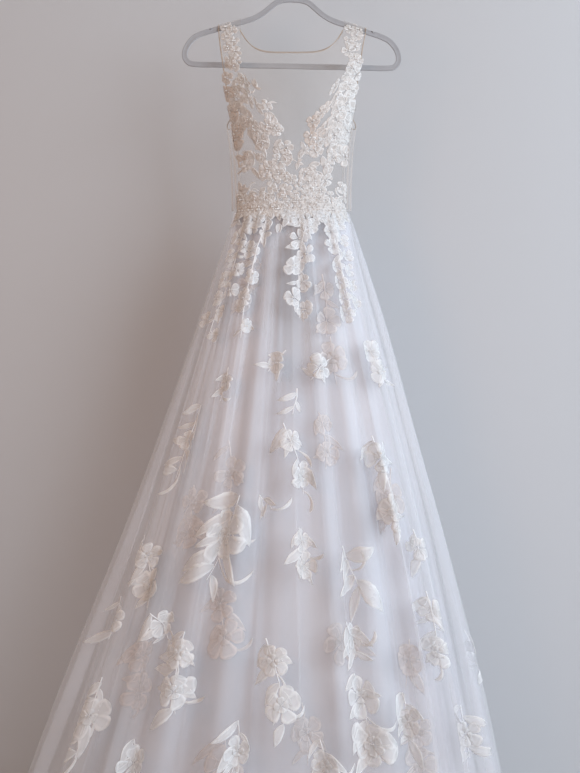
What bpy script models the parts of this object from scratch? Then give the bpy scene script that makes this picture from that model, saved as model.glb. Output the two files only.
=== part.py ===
"""A wedding dress on its hanger, in metres, +Z up, seen from -Y, with +X to the viewer's right.

The origin is the inner top of the hanger's hook, where the rail would touch it. The dress is a sheer net bodice
with a scooped front over a deep lace V, and a skirt of two tulle layers over a lining, with lace sprays sewn on.
Each piece of cloth is a wall on a grid of rings. Lace is cut out along the panel that it lies on and moved out.
"""

import math

import bpy
import numpy as np
from mathutils import Vector
from mathutils.geometry import delaunay_2d_cdt

COLLECTION = "wedding_dress_on_hanger"

# Gaps and thicknesses
SEAM_GAP = 0.0004
LACE_GAP = 0.0004
NET_WALL = 0.0012
TULLE_WALL = 0.0012
LACE_RISE = 0.0012
BEAD_RISE = 0.0026
FULL_FLOWER = 0.030
FLOWER_SIZES = (0.82, 1.0, 0.9, 1.08)
LEAF_WIDTH = 0.44
LEAF_SIZES = (1.0, 0.9, 0.8, 1.12)
LEAF_TURNS = (0.85, -0.95, 0.6, -0.7)
STEM_STEP = 0.08
EDGE_MARGIN = 0.02
SHARP_EDGE = math.radians(50)

# Small steps, in degrees round the body and metres up it, that find which way its surface faces
AROUND_STEP = 0.5
HEIGHT_STEP = 0.002

# The skirt's folds: columns for each, and how much their height drifts up and round the skirt
FOLD_STEPS = 4
FOLD_DRIFT = 0.25
DRIFT_UP = 5.0
DRIFT_ROUND = 3.0

# The hanger
MEMBER_WIDE = 0.011
FRAME_DEEP = 0.005
FRAME_CHAMFER = 0.0012
FRAME_TILT = math.radians(1.2)
FRAME_PIVOT = -0.2106
WIRE = 0.004
HOOK_INNER = 0.021
COLLAR_TOP = -0.056
COLLAR_RADIUS = 0.0055
COLLAR_HOLE = 0.010
COLLAR_STEPS = 12
NOTCH_PLACE = 0.163
NOTCH_WIDE = 0.012
NOTCH_DEEP = 0.004
ARM_X = 0.1077
ARM_TOP = -0.1198
ARM_FALL = 0.306
ARM_LOWEST = -0.165

# The bodice
WAIST = -0.5083
NECK_FRONT = -0.197
NECK_BACK = -0.174
NECK_SIDE = 35.2
FRONT_SEAM = 60.0
UNDERARM = -0.335
SHOULDER = -0.1375
BODICE_ROWS = 8
SIDE_ROWS = 4
SIDE_COLUMNS = 6
FRONT_COLUMNS = (0, 9, 17.5, 24.5, 30.5, NECK_SIDE, 43.5, 52, FRONT_SEAM)
BACK_COLUMNS = (0, 11, 21, 29, NECK_SIDE, 47, FRONT_SEAM)
STRAP_INNER = 0.104
STRAP_OUTER = 0.148
FLAT_SIDE = 0.0042
ROUNDNESS = 2 / 2.3
CUP_RISE = 0.012
CUP_APART = 0.060
CUP_HEIGHT = -0.322
CUP_WIDE = 0.040
CUP_TALL = 0.050
BONING_WIDE = 0.008
BONING_COLUMNS = (("front", 0.8), ("middle", 2.5))


def table(columns, rows):
    """A short table as one array for each named column."""
    return {name: np.array(values) for name, values in zip(columns.split(), zip(*rows))}


# Half width, and how far the front and the back stand out, at each height of the bodice
BODICE = table(
    "height half_width front back",
    (
        (-0.132, 0.169, 0.000, 0.000),
        (-0.150, 0.166, 0.016, 0.012),
        (-0.185, 0.160, 0.041, 0.031),
        (-0.220, 0.154, 0.062, 0.046),
        (-0.260, 0.147, 0.082, 0.061),
        (-0.300, 0.138, 0.092, 0.072),
        (-0.340, 0.128, 0.093, 0.078),
        (-0.380, 0.122, 0.089, 0.079),
        (-0.420, 0.119, 0.083, 0.077),
        (-0.460, 0.117, 0.077, 0.074),
        (-0.5083, 0.116, 0.073, 0.071),
    ),
)

# The outer tulle: half widths to the left and right, depths, and how high its folds stand
OVERLAY = table(
    "height left right front back fold",
    (
        (-0.5087, 0.116, 0.116, 0.073, 0.071, 0.0000),
        (-0.530, 0.121, 0.123, 0.085, 0.074, 0.0024),
        (-0.590, 0.140, 0.142, 0.104, 0.080, 0.0060),
        (-0.730, 0.185, 0.185, 0.133, 0.092, 0.0115),
        (-0.920, 0.247, 0.236, 0.169, 0.104, 0.0180),
        (-1.150, 0.327, 0.299, 0.211, 0.115, 0.0250),
        (-1.395, 0.422, 0.357, 0.257, 0.125, 0.0310),
        (-1.656, 0.524, 0.410, 0.306, 0.134, 0.0360),
    ),
)

# The second tulle layer, which hangs inside the outer one
TULLE = table(
    "height left right front back fold",
    (
        (-0.5087, 0.1143, 0.1143, 0.0713, 0.0693, 0.0000),
        (-0.550, 0.121, 0.122, 0.082, 0.070, 0.0020),
        (-0.680, 0.152, 0.154, 0.104, 0.075, 0.0065),
        (-0.900, 0.213, 0.212, 0.138, 0.083, 0.0125),
        (-1.150, 0.281, 0.273, 0.178, 0.090, 0.0180),
        (-1.400, 0.362, 0.325, 0.217, 0.095, 0.0220),
        (-1.652, 0.446, 0.368, 0.258, 0.099, 0.0250),
    ),
)

# The lining, which is the narrowest
LINING = table(
    "height left right front back fold",
    (
        (-0.5087, 0.1126, 0.1126, 0.0696, 0.0676, 0.0000),
        (-0.560, 0.118, 0.119, 0.077, 0.0665, 0.0012),
        (-0.760, 0.152, 0.156, 0.099, 0.066, 0.0045),
        (-1.050, 0.207, 0.219, 0.135, 0.068, 0.0090),
        (-1.350, 0.273, 0.281, 0.173, 0.071, 0.0130),
        (-1.648, 0.348, 0.331, 0.210, 0.074, 0.0150),
    ),
)

# Where each layer's folds crest around the waist, and how high each is against the rest.
# 0 is centre front, positive to the viewer's right, and the side seams are at 90 and 270.
OVERLAY_FOLDS = table(
    "around height",
    (
        (-90, 0.7), (-72, 1.1), (-57, 0.7), (-42, 1.2), (-29, 0.8), (-16, 1.1), (-4, 0.7),
        (9, 1.1), (22, 0.7), (36, 1.2), (49, 0.8), (63, 1.2), (77, 0.7), (90, 0.8),
        (113, 0.8), (139, 0.6), (163, 0.8), (188, 0.6), (214, 0.9), (242, 0.6), (270, 0.7),
    ),
)
TULLE_FOLDS = table(
    "around height",
    (
        (-90, 0.8), (-66, 1.1), (-43, 0.7), (-20, 1.2), (2, 0.8), (24, 1.1), (47, 0.7), (69, 1.1),
        (90, 0.9), (134, 0.7), (179, 0.8), (224, 0.7), (270, 0.8),
    ),
)
LINING_FOLDS = table(
    "around height",
    (
        (-90, 0.9), (-53, 1.1), (-17, 0.8), (19, 1.1), (55, 0.8), (90, 0.9),
        (150, 0.6), (212, 0.8), (270, 0.9),
    ),
)


def smooth(rows, name, height):
    """One column of a table at any height: a cubic between rows whose slopes come from the neighbours."""
    x = rows["height"][::-1]
    y = rows[name][::-1]
    slope = np.gradient(y, x)
    i = np.clip(np.searchsorted(x, height) - 1, 0, len(x) - 2)
    step = x[i + 1] - x[i]
    t = np.clip((height - x[i]) / step, 0, 1)
    start = y[i] * (1 + 2 * t) * (1 - t) ** 2 + slope[i] * step * t * (1 - t) ** 2
    end = y[i + 1] * t**2 * (3 - 2 * t) + slope[i + 1] * step * t**2 * (t - 1)
    return start + end


def ring(around, left, right, front, back):
    """A rounded section: x and y at each angle, with a short flat stretch at each side."""
    angle = np.radians(around)
    across = np.sin(angle)
    ahead = np.cos(angle)
    x = np.where(across < 0, left, right) * np.sign(across) * np.abs(across) ** ROUNDNESS
    ahead = np.where(np.abs(ahead) < 1e-9, 0, ahead)
    depth = np.where(ahead > 0, front, back) * np.abs(ahead) ** ROUNDNESS
    return x, -np.sign(ahead) * (FLAT_SIDE + depth)


def bodice_point(around, height):
    """The bodice's outer surface, with a soft cup to each side of the front."""
    around, height = np.broadcast_arrays(np.asarray(around, float), np.asarray(height, float))
    half = smooth(BODICE, "half_width", height)
    x, y = ring(around, half, half, smooth(BODICE, "front", height), smooth(BODICE, "back", height))
    sideways = (np.abs(x) - CUP_APART) / CUP_WIDE
    upwards = (height - CUP_HEIGHT) / CUP_TALL
    cup = CUP_RISE * np.exp(-(sideways**2) - upwards**2)
    y = np.where(y < 0, y - cup, y)
    return np.stack([x, y, height], axis=-1)


def facing(points_at, u, v, du, dv):
    """Outward directions of a surface given as a function of two values."""
    across = points_at(u + du, v) - points_at(u - du, v)
    up = points_at(u, v + dv) - points_at(u, v - dv)
    normal = np.cross(across, up)
    return normal / np.linalg.norm(normal, axis=-1, keepdims=True)


def grid_facing(points, closed):
    """Outward directions at the points of a grid, from their neighbours."""
    if closed:
        across = np.roll(points, -1, axis=1) - np.roll(points, 1, axis=1)
    else:
        across = np.gradient(points, axis=1)
    up = np.gradient(points, axis=0)
    normal = np.cross(across, up)
    return normal / np.linalg.norm(normal, axis=-1, keepdims=True)


def finish(name, colour, roughness, metallic=0.0):
    """A plain coloured finish."""
    material = bpy.data.materials.new(name)
    material.use_nodes = True
    shader = material.node_tree.nodes["Principled BSDF"]
    shader.inputs["Base Color"].default_value = (*colour, 1)
    shader.inputs["Roughness"].default_value = roughness
    shader.inputs["Metallic"].default_value = metallic
    return material


def add_object(name, data, material, collection):
    thing = bpy.data.objects.new(name, data)
    collection.objects.link(thing)
    thing.data.materials.append(material)
    return thing


def add_mesh(name, points, faces, material, collection):
    """One closed body, shaded smooth but for its sharp edges."""
    mesh = bpy.data.meshes.new(name)
    mesh.from_pydata([tuple(point) for point in points], [], [tuple(face) for face in faces])
    mesh.update()
    mesh.shade_smooth()
    mesh.set_sharp_from_angle(angle=SHARP_EDGE)
    return add_object(name, mesh, material, collection)


class Panel:
    """A wall of cloth on a grid of outer points: rows go up, columns go round to the viewer's right.

    Each square of the grid is split from its lower left to its upper right corner.
    """

    def __init__(self, points, normals, wall):
        self.points = points.copy()
        self.normals = normals
        self.wall = wall
        for edge, inside in ((0, 1), (-1, -2)):
            toward = self.points[:, inside] - self.points[:, edge]
            toward /= np.linalg.norm(toward, axis=-1, keepdims=True)
            self.points[:, edge] += toward * SEAM_GAP / 2

    def solid(self, name, material, collection):
        """The closed wall: outer grid, inner grid and the rim between them."""
        rows, columns = self.points.shape[:2]
        inner = self.points - self.wall * self.normals
        points = np.concatenate([self.points.reshape(-1, 3), inner.reshape(-1, 3)])
        index = np.arange(rows * columns).reshape(rows, columns)
        a, b = index[:-1, :-1].ravel(), index[:-1, 1:].ravel()
        c, d = index[1:, 1:].ravel(), index[1:, :-1].ravel()
        outside = np.concatenate([np.stack([a, b, c], 1), np.stack([a, c, d], 1)])
        inside = outside[:, ::-1] + rows * columns
        border = np.concatenate([index[0, :-1], index[:-1, -1], index[-1, :0:-1], index[:0:-1, 0]])
        after = np.roll(border, -1)
        low = rows * columns
        rim = np.concatenate(
            [np.stack([after, border, border + low], 1), np.stack([after, border + low, after + low], 1)]
        )
        return add_mesh(name, points, np.concatenate([outside, inside, rim]), material, collection)

    def place(self, grid, column, row):
        """A grid of values, read at fractions of a column and row over the flat facets."""
        rows, columns = grid.shape[:2]
        c = int(min(max(math.floor(column), 0), columns - 2))
        r = int(min(max(math.floor(row), 0), rows - 2))
        right, up = column - c, row - r
        near, far = grid[r, c], grid[r + 1, c + 1]
        if right >= up:
            corner = grid[r, c + 1]
            return near + (right - up) * (corner - near) + up * (far - near)
        corner = grid[r + 1, c]
        return near + (up - right) * (corner - near) + right * (far - near)

    def lift(self, column, row, out):
        """A point that stands out from the panel."""
        return self.place(self.points, column, row) + out * self.place(self.normals, column, row)

    def spot(self, x, z):
        """The column and row of the place that is seen at x and z from the front, or from behind."""
        count = self.points.shape[0]
        rows = np.linspace(0, count - 1, 12 * (count - 1) + 1)
        low = np.clip(np.floor(rows).astype(int), 0, count - 2)
        part = (rows - low)[:, None, None]
        between = self.points[low] * (1 - part) + self.points[low + 1] * part
        gap = np.hypot((between[..., 0] - x), (between[..., 2] - z))
        r, c = np.unravel_index(np.argmin(gap), gap.shape)
        line = between[r, :, 0]
        toward = 1 if (x - line[c]) * (line[min(c + 1, len(line) - 1)] - line[c]) > 0 else -1
        beside = int(np.clip(c + toward, 0, len(line) - 1))
        span = line[beside] - line[c]
        share = 0.0 if abs(span) < 1e-6 else float(np.clip((x - line[c]) / span, 0, 1))
        return c + share * (beside - c), float(rows[r])

    def scale(self, column, row):
        """How a metre across and a metre up the cloth turn into columns and rows at one place."""
        rows, columns = self.points.shape[:2]
        left, right = max(column - 2, 0), min(column + 2, columns - 1)
        below, above = max(row - 0.5, 0), min(row + 0.5, rows - 1)
        steps = [self.lift(left + (right - left) * i / 8, row, 0) for i in range(9)]
        per_column = sum(np.linalg.norm(b - a) for a, b in zip(steps, steps[1:])) / (right - left)
        across = steps[-1] - steps[0]
        across /= np.linalg.norm(across)
        climb = (self.lift(column, above, 0) - self.lift(column, below, 0)) / (above - below)
        lean = float(climb @ across)
        rise = float(np.linalg.norm(climb - lean * across))
        return per_column, lean, rise

    def shifted(self, column, row, right, up):
        """The grid place that lies so far to the right and up the cloth from another."""
        per_column, lean, rise = self.scale(column, row)
        rows = up / rise
        return column + (right - lean * rows) / per_column, row + rows


class Lace:
    """Motifs that are drawn on one panel and become one body of lace."""

    def __init__(self, panel):
        self.panel = panel
        self.outlines = []
        self.peaks = []

    def outline(self, places):
        """A closed outline of grid places, kept just inside the panel's edges."""
        highest = np.array(self.panel.points.shape[1::-1]) - 1 - EDGE_MARGIN
        self.outlines.append([tuple(place) for place in np.clip(places, EDGE_MARGIN, highest)])

    def peak(self, column, row, rise):
        self.peaks.append((column, row, rise))

    def flower(self, column, row, radius, turn, petals=5):
        """A blossom whose petals each have two shoulders, notched between, with a bead at the centre."""
        places = []
        shoulders = ((0.0, 0.52), (0.34, 1.0), (0.66, 1.0)) if radius > FULL_FLOWER else ((0.0, 0.5), (0.5, 1.05))
        for i in range(petals):
            for step, reach in shoulders:
                angle = turn + (i + step) * math.tau / petals
                right, up = radius * reach * math.cos(angle), radius * reach * math.sin(angle)
                places.append(self.panel.shifted(column, row, right, up))
        self.outline(places)
        self.peak(column, row, BEAD_RISE)

    def leaf(self, column, row, heading, length, width):
        """A pointed leaf that starts a little behind its place."""
        along = (math.cos(heading), math.sin(heading))
        side = (-along[1], along[0])
        places = []
        for reach, half in ((-0.06, 0.0), (0.42, -0.5), (1.0, 0.0), (0.42, 0.5)):
            right = along[0] * length * reach + side[0] * width * half
            up = along[1] * length * reach + side[1] * width * half
            places.append(self.panel.shifted(column, row, right, up))
        self.outline(places)

    def stem(self, places, width):
        """A narrow strip along places on the panel."""
        left, right = [], []
        for i, (column, row) in enumerate(places):
            before = self.panel.lift(*places[max(i - 1, 0)], 0)
            after = self.panel.lift(*places[min(i + 1, len(places) - 1)], 0)
            run, climb = after[0] - before[0], after[2] - before[2]
            size = math.hypot(run, climb)
            side = (-climb / size * width / 2, run / size * width / 2)
            left.append(self.panel.shifted(column, row, *side))
            right.append(self.panel.shifted(column, row, -side[0], -side[1]))
        self.outline(right + left[::-1])

    def vine(self, start, finish, bow, flowers, radius, leaves, leaf_length, width=0.004):
        """A bowed stem seen from start to finish, with flowers along it and leaves to left and right."""
        start, finish = np.array(start), np.array(finish)
        run = finish - start
        side = np.array([-run[1], run[0]])
        middle = (start + finish) / 2 + bow * side
        joints = np.linspace(0, 1, max(3, int(round(np.linalg.norm(run) / STEM_STEP)) + 1))
        t = joints[:, None]
        bends = (1 - t) ** 2 * start + 2 * t * (1 - t) * middle + t**2 * finish

        def seen(share):
            return np.array([np.interp(share, joints, bends[:, axis]) for axis in (0, 1)])

        self.stem([self.panel.spot(*bend) for bend in bends], width)
        for i in range(flowers):
            size = radius * FLOWER_SIZES[i % 4]
            self.flower(*self.panel.spot(*seen((i + 0.5) / flowers)), size, 0.7 + 1.9 * i)
        for i in range(leaves):
            share = (i + 0.25) / leaves
            ahead = seen(share + 0.02) - seen(share - 0.02)
            heading = math.atan2(ahead[1], ahead[0]) + LEAF_TURNS[i % 4]
            size = leaf_length * LEAF_SIZES[i % 4]
            self.leaf(*self.panel.spot(*seen(share)), heading, size, size * LEAF_WIDTH)

    def solid(self, name, material, collection):
        """The union of the motifs, split along the facets below it, and walled between its two faces."""
        everything = np.array([point for outline in self.outlines for point in outline])
        net = facet_net(np.floor(everything.min(axis=0)), np.ceil(everything.max(axis=0)))
        found, kept, _ = cut_out(net, self.outlines, [], [])
        loops = border_loops(kept)
        rims = [[found[corner] for corner in loop] for loop in loops]
        outer = [rim for rim in rims if loop_area(rim) > 0]
        holes = [rim[::-1] for rim in rims if loop_area(rim) < 0]
        found, kept, rises = cut_out(net, outer, holes, self.peaks)
        used = sorted({corner for triangle in kept for corner in triangle})
        number = {corner: i for i, corner in enumerate(used)}
        under = [self.panel.lift(*found[corner], LACE_GAP) for corner in used]
        over = [self.panel.lift(*found[corner], LACE_GAP + LACE_RISE + rises.get(corner, 0)) for corner in used]
        count = len(used)
        solid_faces = []
        for a, b, c in ((number[corner] for corner in triangle) for triangle in kept):
            solid_faces.append((a + count, b + count, c + count))
            solid_faces.append((c, b, a))
        for loop in border_loops(kept):
            for start, after in zip(loop, loop[1:] + loop[:1]):
                a, b = number[start], number[after]
                solid_faces.append((b + count, a + count, a))
                solid_faces.append((b + count, a, b))
        return add_mesh(name, under + over, solid_faces, material, collection)


def facet_net(lows, highs):
    """The panel's grid lines and diagonals between two corners, as places and edges."""
    wide, high = (highs - lows).astype(int) + 1
    places = [(lows[0] + c, lows[1] + r) for r in range(high) for c in range(wide)]
    edges = []
    for here in range(wide * high):
        right, up = here % wide < wide - 1, here < wide * (high - 1)
        if right:
            edges.append((here, here + 1))
        if up:
            edges.append((here, here + wide))
        if right and up:
            edges.append((here, here + wide + 1))
    return places, edges


def cut_out(net, outlines, holes, peaks):
    """Triangles inside the outlines and outside the holes, with no edge across a facet's edge."""
    places = [Vector(place) for place in net[0]]
    faces = []
    for outline in outlines + holes:
        faces.append(list(range(len(places), len(places) + len(outline))))
        places += [Vector(point) for point in outline]
    first_peak = len(places)
    places += [Vector((column, row)) for column, row, _ in peaks]
    found, _, triangles, origins, _, owners = delaunay_2d_cdt(places, net[1], faces, 0, 1e-5, True)
    kept, spare = [], []
    for triangle, owner in zip(triangles, owners):
        inside = bool(owner) and max(owner) < len(outlines)
        a, b, c = triangle
        if loop_area([found[a], found[b], found[c]]) < 0:
            b, c = c, b
        (kept if inside else spare).append((a, b, c))
    rises = {}
    for corner, sources in enumerate(origins):
        for source in sources:
            if source >= first_peak:
                rises[corner] = peaks[source - first_peak][2]
    return [tuple(place) for place in found], unpinched(kept, spare), rises


def loop_area(points):
    """The signed area of a loop, positive if it runs anticlockwise."""
    return sum(a[0] * b[1] - b[0] * a[1] for a, b in zip(points, list(points[1:]) + [points[0]])) / 2


def border_loops(triangles):
    """The loops of edges that only one triangle has, each with the triangles on its left."""
    edges = {(t[i], t[(i + 1) % 3]) for t in triangles for i in range(3)}
    after = {a: b for a, b in edges if (b, a) not in edges}
    loops = []
    while after:
        start = next(iter(after))
        loop = [start]
        here = after.pop(start)
        while here != start:
            loop.append(here)
            here = after.pop(here)
        loops.append(loop)
    return loops


def unpinched(kept, spare):
    """Fills in round each point where two stretches of lace would touch at that point alone."""
    for _ in range(8):
        edges = {}
        for triangle in kept:
            for i in range(3):
                edge = frozenset((triangle[i], triangle[(i + 1) % 3]))
                edges[edge] = edges.get(edge, 0) + 1
        ends = {}
        for edge, times in edges.items():
            if times == 1:
                for corner in edge:
                    ends[corner] = ends.get(corner, 0) + 1
        pinched = {corner for corner, times in ends.items() if times > 2}
        if not pinched:
            break
        kept = kept + [t for t in spare if pinched & set(t)]
        spare = [t for t in spare if not pinched & set(t)]
    return kept


def tilted(point):
    """A point of the hanger's frame, turned with it about the middle of its bar."""
    x, y, z = point
    rise = z - FRAME_PIVOT
    cosine, sine = math.cos(FRAME_TILT), math.sin(FRAME_TILT)
    return np.array([x * cosine + rise * sine, y, FRAME_PIVOT - x * sine + rise * cosine])


def arm_top(x):
    """The upper edge of the level frame's arm."""
    return ARM_TOP - ARM_FALL * (abs(x) - ARM_X)


# The strap's outer section over an arm: forward place, and height above the arm's upper edge
STRAP_SECTION = table(
    "forward height",
    (
        (-0.0042, -0.0090), (-0.0042, -0.0018), (-0.0032, 0.0011), (0.0000, 0.0019),
        (0.0032, 0.0011), (0.0042, -0.0018), (0.0042, -0.0090),
    ),
)


def strap_grid(side):
    """Rows of points over one arm, each row from the front edge over the top to the back edge."""
    across = np.linspace(STRAP_INNER, STRAP_OUTER, 3) * side
    grid = np.array(
        [
            [tilted((x, forward, arm_top(x) + height)) for x in across]
            for forward, height in zip(STRAP_SECTION["forward"], STRAP_SECTION["height"])
        ]
    )
    return grid[:, ::-1] if side < 0 else grid


def bodice_half(middle, columns, neck_height, strap_row):
    """The front or back: rows rise from the waist to the scooped neck and, at each side, to the strap."""
    turn = np.array([-a for a in columns[:0:-1]] + list(columns))
    around = middle + turn
    scoop = neck_height + (SHOULDER - neck_height) * np.minimum(np.abs(turn) / NECK_SIDE, 1) ** 4
    heights = WAIST + (scoop - WAIST) * np.linspace(0, 1, BODICE_ROWS + 1)[:, None]
    around = around + 0 * heights
    points = bodice_point(around, heights)
    normals = facing(bodice_point, around, heights, AROUND_STEP, HEIGHT_STEP)
    for side in (-1, 1):
        over_strap = np.flatnonzero(side * turn >= NECK_SIDE)
        edge = strap_grid(side if middle == 0 else -side)[strap_row]
        if middle != 0:
            edge = edge[::-1]
        share = np.linspace(0, 1, len(over_strap))
        for axis in range(3):
            points[-1, over_strap, axis] = np.interp(share, np.linspace(0, 1, len(edge)), edge[:, axis])
        points[-1, over_strap, 2] -= SEAM_GAP
        normals[-1, over_strap] = (0, -1 if middle == 0 else 1, 0)
    return Panel(points, normals, NET_WALL)


def side_panel(side):
    """A side, from the front seam to the back seam, with the foot of the armhole scooped out of its top."""
    turn = np.linspace(FRONT_SEAM, 180 - FRONT_SEAM, SIDE_COLUMNS + 1)
    around = turn if side > 0 else 360 - turn[::-1]
    seam_top = WAIST + (SHOULDER - WAIST) * SIDE_ROWS / BODICE_ROWS
    top = UNDERARM + (seam_top - UNDERARM) * np.linspace(-1, 1, SIDE_COLUMNS + 1) ** 2
    heights = WAIST + (top - WAIST) * np.linspace(0, 1, SIDE_ROWS + 1)[:, None]
    around = around + 0 * heights
    points = bodice_point(around, heights)
    return Panel(points, facing(bodice_point, around, heights, AROUND_STEP, HEIGHT_STEP), NET_WALL)


def fold_columns(folds):
    """Angles round the skirt, and at each how far up its fold it lies, from 0 in a trough to 1 on a crest.

    Each fold has a rounded top between its first two columns and a rounded trough between its last two.
    """
    around, wave = [], []
    for i in range(len(folds["around"]) - 1):
        for step in range(FOLD_STEPS):
            t = step / FOLD_STEPS
            around.append(folds["around"][i] * (1 - t) + folds["around"][i + 1] * t)
            size = folds["height"][i] * (1 - t) + folds["height"][i + 1] * t
            swing = math.cos(math.tau * (t - 0.5 / FOLD_STEPS)) / math.cos(math.pi / FOLD_STEPS)
            wave.append(0.5 + 0.5 * size * swing)
    return np.array(around), np.array(wave)


def layer(rows, folds):
    """A layer of the skirt as its front and back panels, cut from one folded tube."""
    around, wave = fold_columns(folds)
    heights = rows["height"][::-1]
    bottoms = [rows[name][::-1][:, None] for name in ("left", "right", "front", "back", "fold")]
    left, right, front, back, fold = bottoms
    shape = np.zeros((len(heights), len(around)))
    x, y = ring(around + shape, left + shape, right + shape, front + shape, back + shape)
    plain = np.stack([x, y, heights[:, None] + shape], axis=-1)
    outward = grid_facing(plain, closed=True)
    outward[..., 2] = 0
    outward /= np.linalg.norm(outward, axis=-1, keepdims=True)
    drift = 1 + FOLD_DRIFT * np.sin(heights[:, None] * DRIFT_UP + np.radians(around) * DRIFT_ROUND)
    points = plain + outward * (fold * drift * (wave - 0.5))[..., None]
    normals = grid_facing(points, closed=True)
    seam = int(np.flatnonzero(np.isclose(around, 90))[0])
    front_part = Panel(points[:, : seam + 1], normals[:, : seam + 1], TULLE_WALL)
    rest = list(range(seam, len(around))) + [0]
    return front_part, Panel(points[:, rest], normals[:, rest], TULLE_WALL)


# The lace of the bodice, as seen from the front: where each vine starts and ends, how it bows, how many
# flowers and leaves it has, and their sizes.
BODICE_VINES = {
    "left": (
        ((-0.126, -0.165), (-0.113, -0.245), 0.00, 1, 0.018, 1, 0.036),
        ((-0.112, -0.235), (-0.026, -0.400), 0.12, 3, 0.025, 2, 0.036),
        ((-0.104, -0.270), (-0.088, -0.480), -0.05, 3, 0.027, 1, 0.036),
        ((-0.064, -0.345), (-0.050, -0.470), 0.05, 1, 0.029, 0, 0.034),
        ((-0.026, -0.400), (-0.020, -0.480), 0.00, 1, 0.015, 1, 0.028),
        ((-0.090, -0.482), (-0.018, -0.482), -0.05, 1, 0.022, 2, 0.032),
    ),
    "right": (
        ((0.132, -0.165), (0.120, -0.245), 0.00, 1, 0.018, 1, 0.036),
        ((0.120, -0.232), (0.034, -0.400), -0.12, 3, 0.025, 2, 0.036),
        ((0.108, -0.270), (0.092, -0.480), 0.05, 3, 0.027, 1, 0.036),
        ((0.072, -0.345), (0.058, -0.470), -0.05, 1, 0.029, 0, 0.034),
        ((0.034, -0.400), (0.028, -0.480), 0.00, 1, 0.015, 1, 0.028),
        ((0.092, -0.482), (0.026, -0.482), 0.05, 1, 0.022, 2, 0.032),
    ),
}

# The sprays on the front of the skirt, in the same columns
FRONT_SPRAYS = {
    "waist_left": ((-0.086, -0.530), (-0.162, -0.760), 0.03, 2, 0.023, 2, 0.044),
    "waist_mid_left": ((-0.050, -0.530), (-0.097, -0.760), -0.06, 1, 0.022, 3, 0.044),
    "waist_centre": ((0.030, -0.530), (0.014, -0.725), -0.08, 1, 0.023, 3, 0.042),
    "waist_right": ((0.086, -0.530), (0.117, -0.720), -0.06, 2, 0.022, 2, 0.042),
    "centre_left": ((-0.010, -0.790), (-0.046, -0.825), 0.00, 1, 0.027, 1, 0.040),
    "centre_right": ((0.072, -0.805), (0.036, -0.840), 0.00, 1, 0.027, 1, 0.040),
    "right_knot": ((0.137, -0.770), (0.184, -0.850), 0.10, 1, 0.030, 1, 0.042),
    "left_ribbon": ((-0.172, -0.890), (-0.222, -1.030), 0.00, 1, 0.028, 2, 0.056),
    "centre_mid": ((-0.016, -0.925), (0.021, -1.057), 0.12, 1, 0.027, 2, 0.052),
    "right_mid": ((0.152, -0.945), (0.202, -1.140), 0.06, 2, 0.040, 1, 0.060),
    "big_left": ((-0.096, -1.055), (-0.156, -1.215), 0.05, 1, 0.054, 3, 0.084),
    "far_left": ((-0.284, -1.145), (-0.270, -1.265), 0.14, 1, 0.034, 1, 0.060),
    "centre_low": ((0.012, -1.120), (0.020, -1.205), 0.10, 1, 0.028, 1, 0.056),
    "right_leaves": ((0.094, -1.155), (0.130, -1.235), 0.00, 0, 0.022, 2, 0.070),
    "low_mid_left": ((-0.196, -1.305), (-0.212, -1.450), -0.12, 1, 0.040, 2, 0.060),
    "low_left": ((-0.355, -1.405), (-0.405, -1.545), 0.00, 1, 0.042, 2, 0.066),
    "low_centre": ((-0.048, -1.315), (-0.014, -1.470), 0.10, 1, 0.038, 2, 0.060),
    "low_right": ((0.252, -1.245), (0.276, -1.385), 0.08, 1, 0.034, 2, 0.056),
    "low_big": ((0.114, -1.380), (0.160, -1.540), 0.00, 1, 0.054, 2, 0.066),
    "far_right": ((0.320, -1.460), (0.338, -1.560), 0.00, 1, 0.034, 1, 0.058),
}

# The sprays on its back
BACK_SPRAYS = {
    "back_left": ((-0.066, -0.540), (-0.108, -0.720), 0.05, 1, 0.024, 2, 0.042),
    "back_right": ((0.066, -0.540), (0.102, -0.720), -0.05, 1, 0.024, 2, 0.042),
    "back_mid": ((0.010, -0.830), (-0.030, -0.970), 0.10, 1, 0.034, 2, 0.054),
    "back_low_left": ((-0.180, -1.120), (-0.230, -1.300), 0.10, 1, 0.046, 2, 0.070),
    "back_low_right": ((0.170, -1.100), (0.204, -1.280), -0.10, 1, 0.046, 2, 0.070),
}


def hanger_outline(offset):
    """The frame's outline, a set way out from its middle line, all round."""
    half = np.array(
        [
            (0.000, -0.0765), (0.018, -0.0778), (0.033, -0.0832), (0.046, -0.0937), (0.0615, -0.1062),
            (0.080, -0.1164), (0.108, -0.1256), (0.130, -0.1323), (0.150, -0.1384), (0.176, -0.1464),
            (0.194, -0.1545), (0.207, -0.1675), (0.2145, -0.1830), (0.2150, -0.1970), (0.207, -0.2075),
            (0.193, -0.2106), (0.150, -0.2106), (0.000, -0.2106),
        ]
    )
    line = np.concatenate([half, half[-2:0:-1] * (-1, 1)])
    ahead = np.roll(line, -1, axis=0) - np.roll(line, 1, axis=0)
    ahead /= np.linalg.norm(ahead, axis=1, keepdims=True)
    outward = np.stack([-ahead[:, 1], ahead[:, 0]], axis=1)
    return line + outward * offset


def with_notches(outline):
    """The outer outline with a small notch let into the top of each arm."""
    points = []
    for i, (x, z) in enumerate(outline):
        points.append((x, z))
        after = outline[(i + 1) % len(outline)]
        inner_x, outer_x = sorted((abs(x), abs(after[0])))
        if z > ARM_LOWEST and inner_x < NOTCH_PLACE - NOTCH_WIDE / 2 and outer_x > NOTCH_PLACE + NOTCH_WIDE / 2:
            side = math.copysign(1, x)
            for reach, deep in ((-0.5, 0), (-0.2, 1), (0.2, 1), (0.5, 0)):
                place = NOTCH_PLACE + (reach if side > 0 else -reach) * NOTCH_WIDE
                share = (side * place - x) / (after[0] - x)
                points.append((side * place, z + share * (after[1] - z) - deep * NOTCH_DEEP))
    return points


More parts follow.
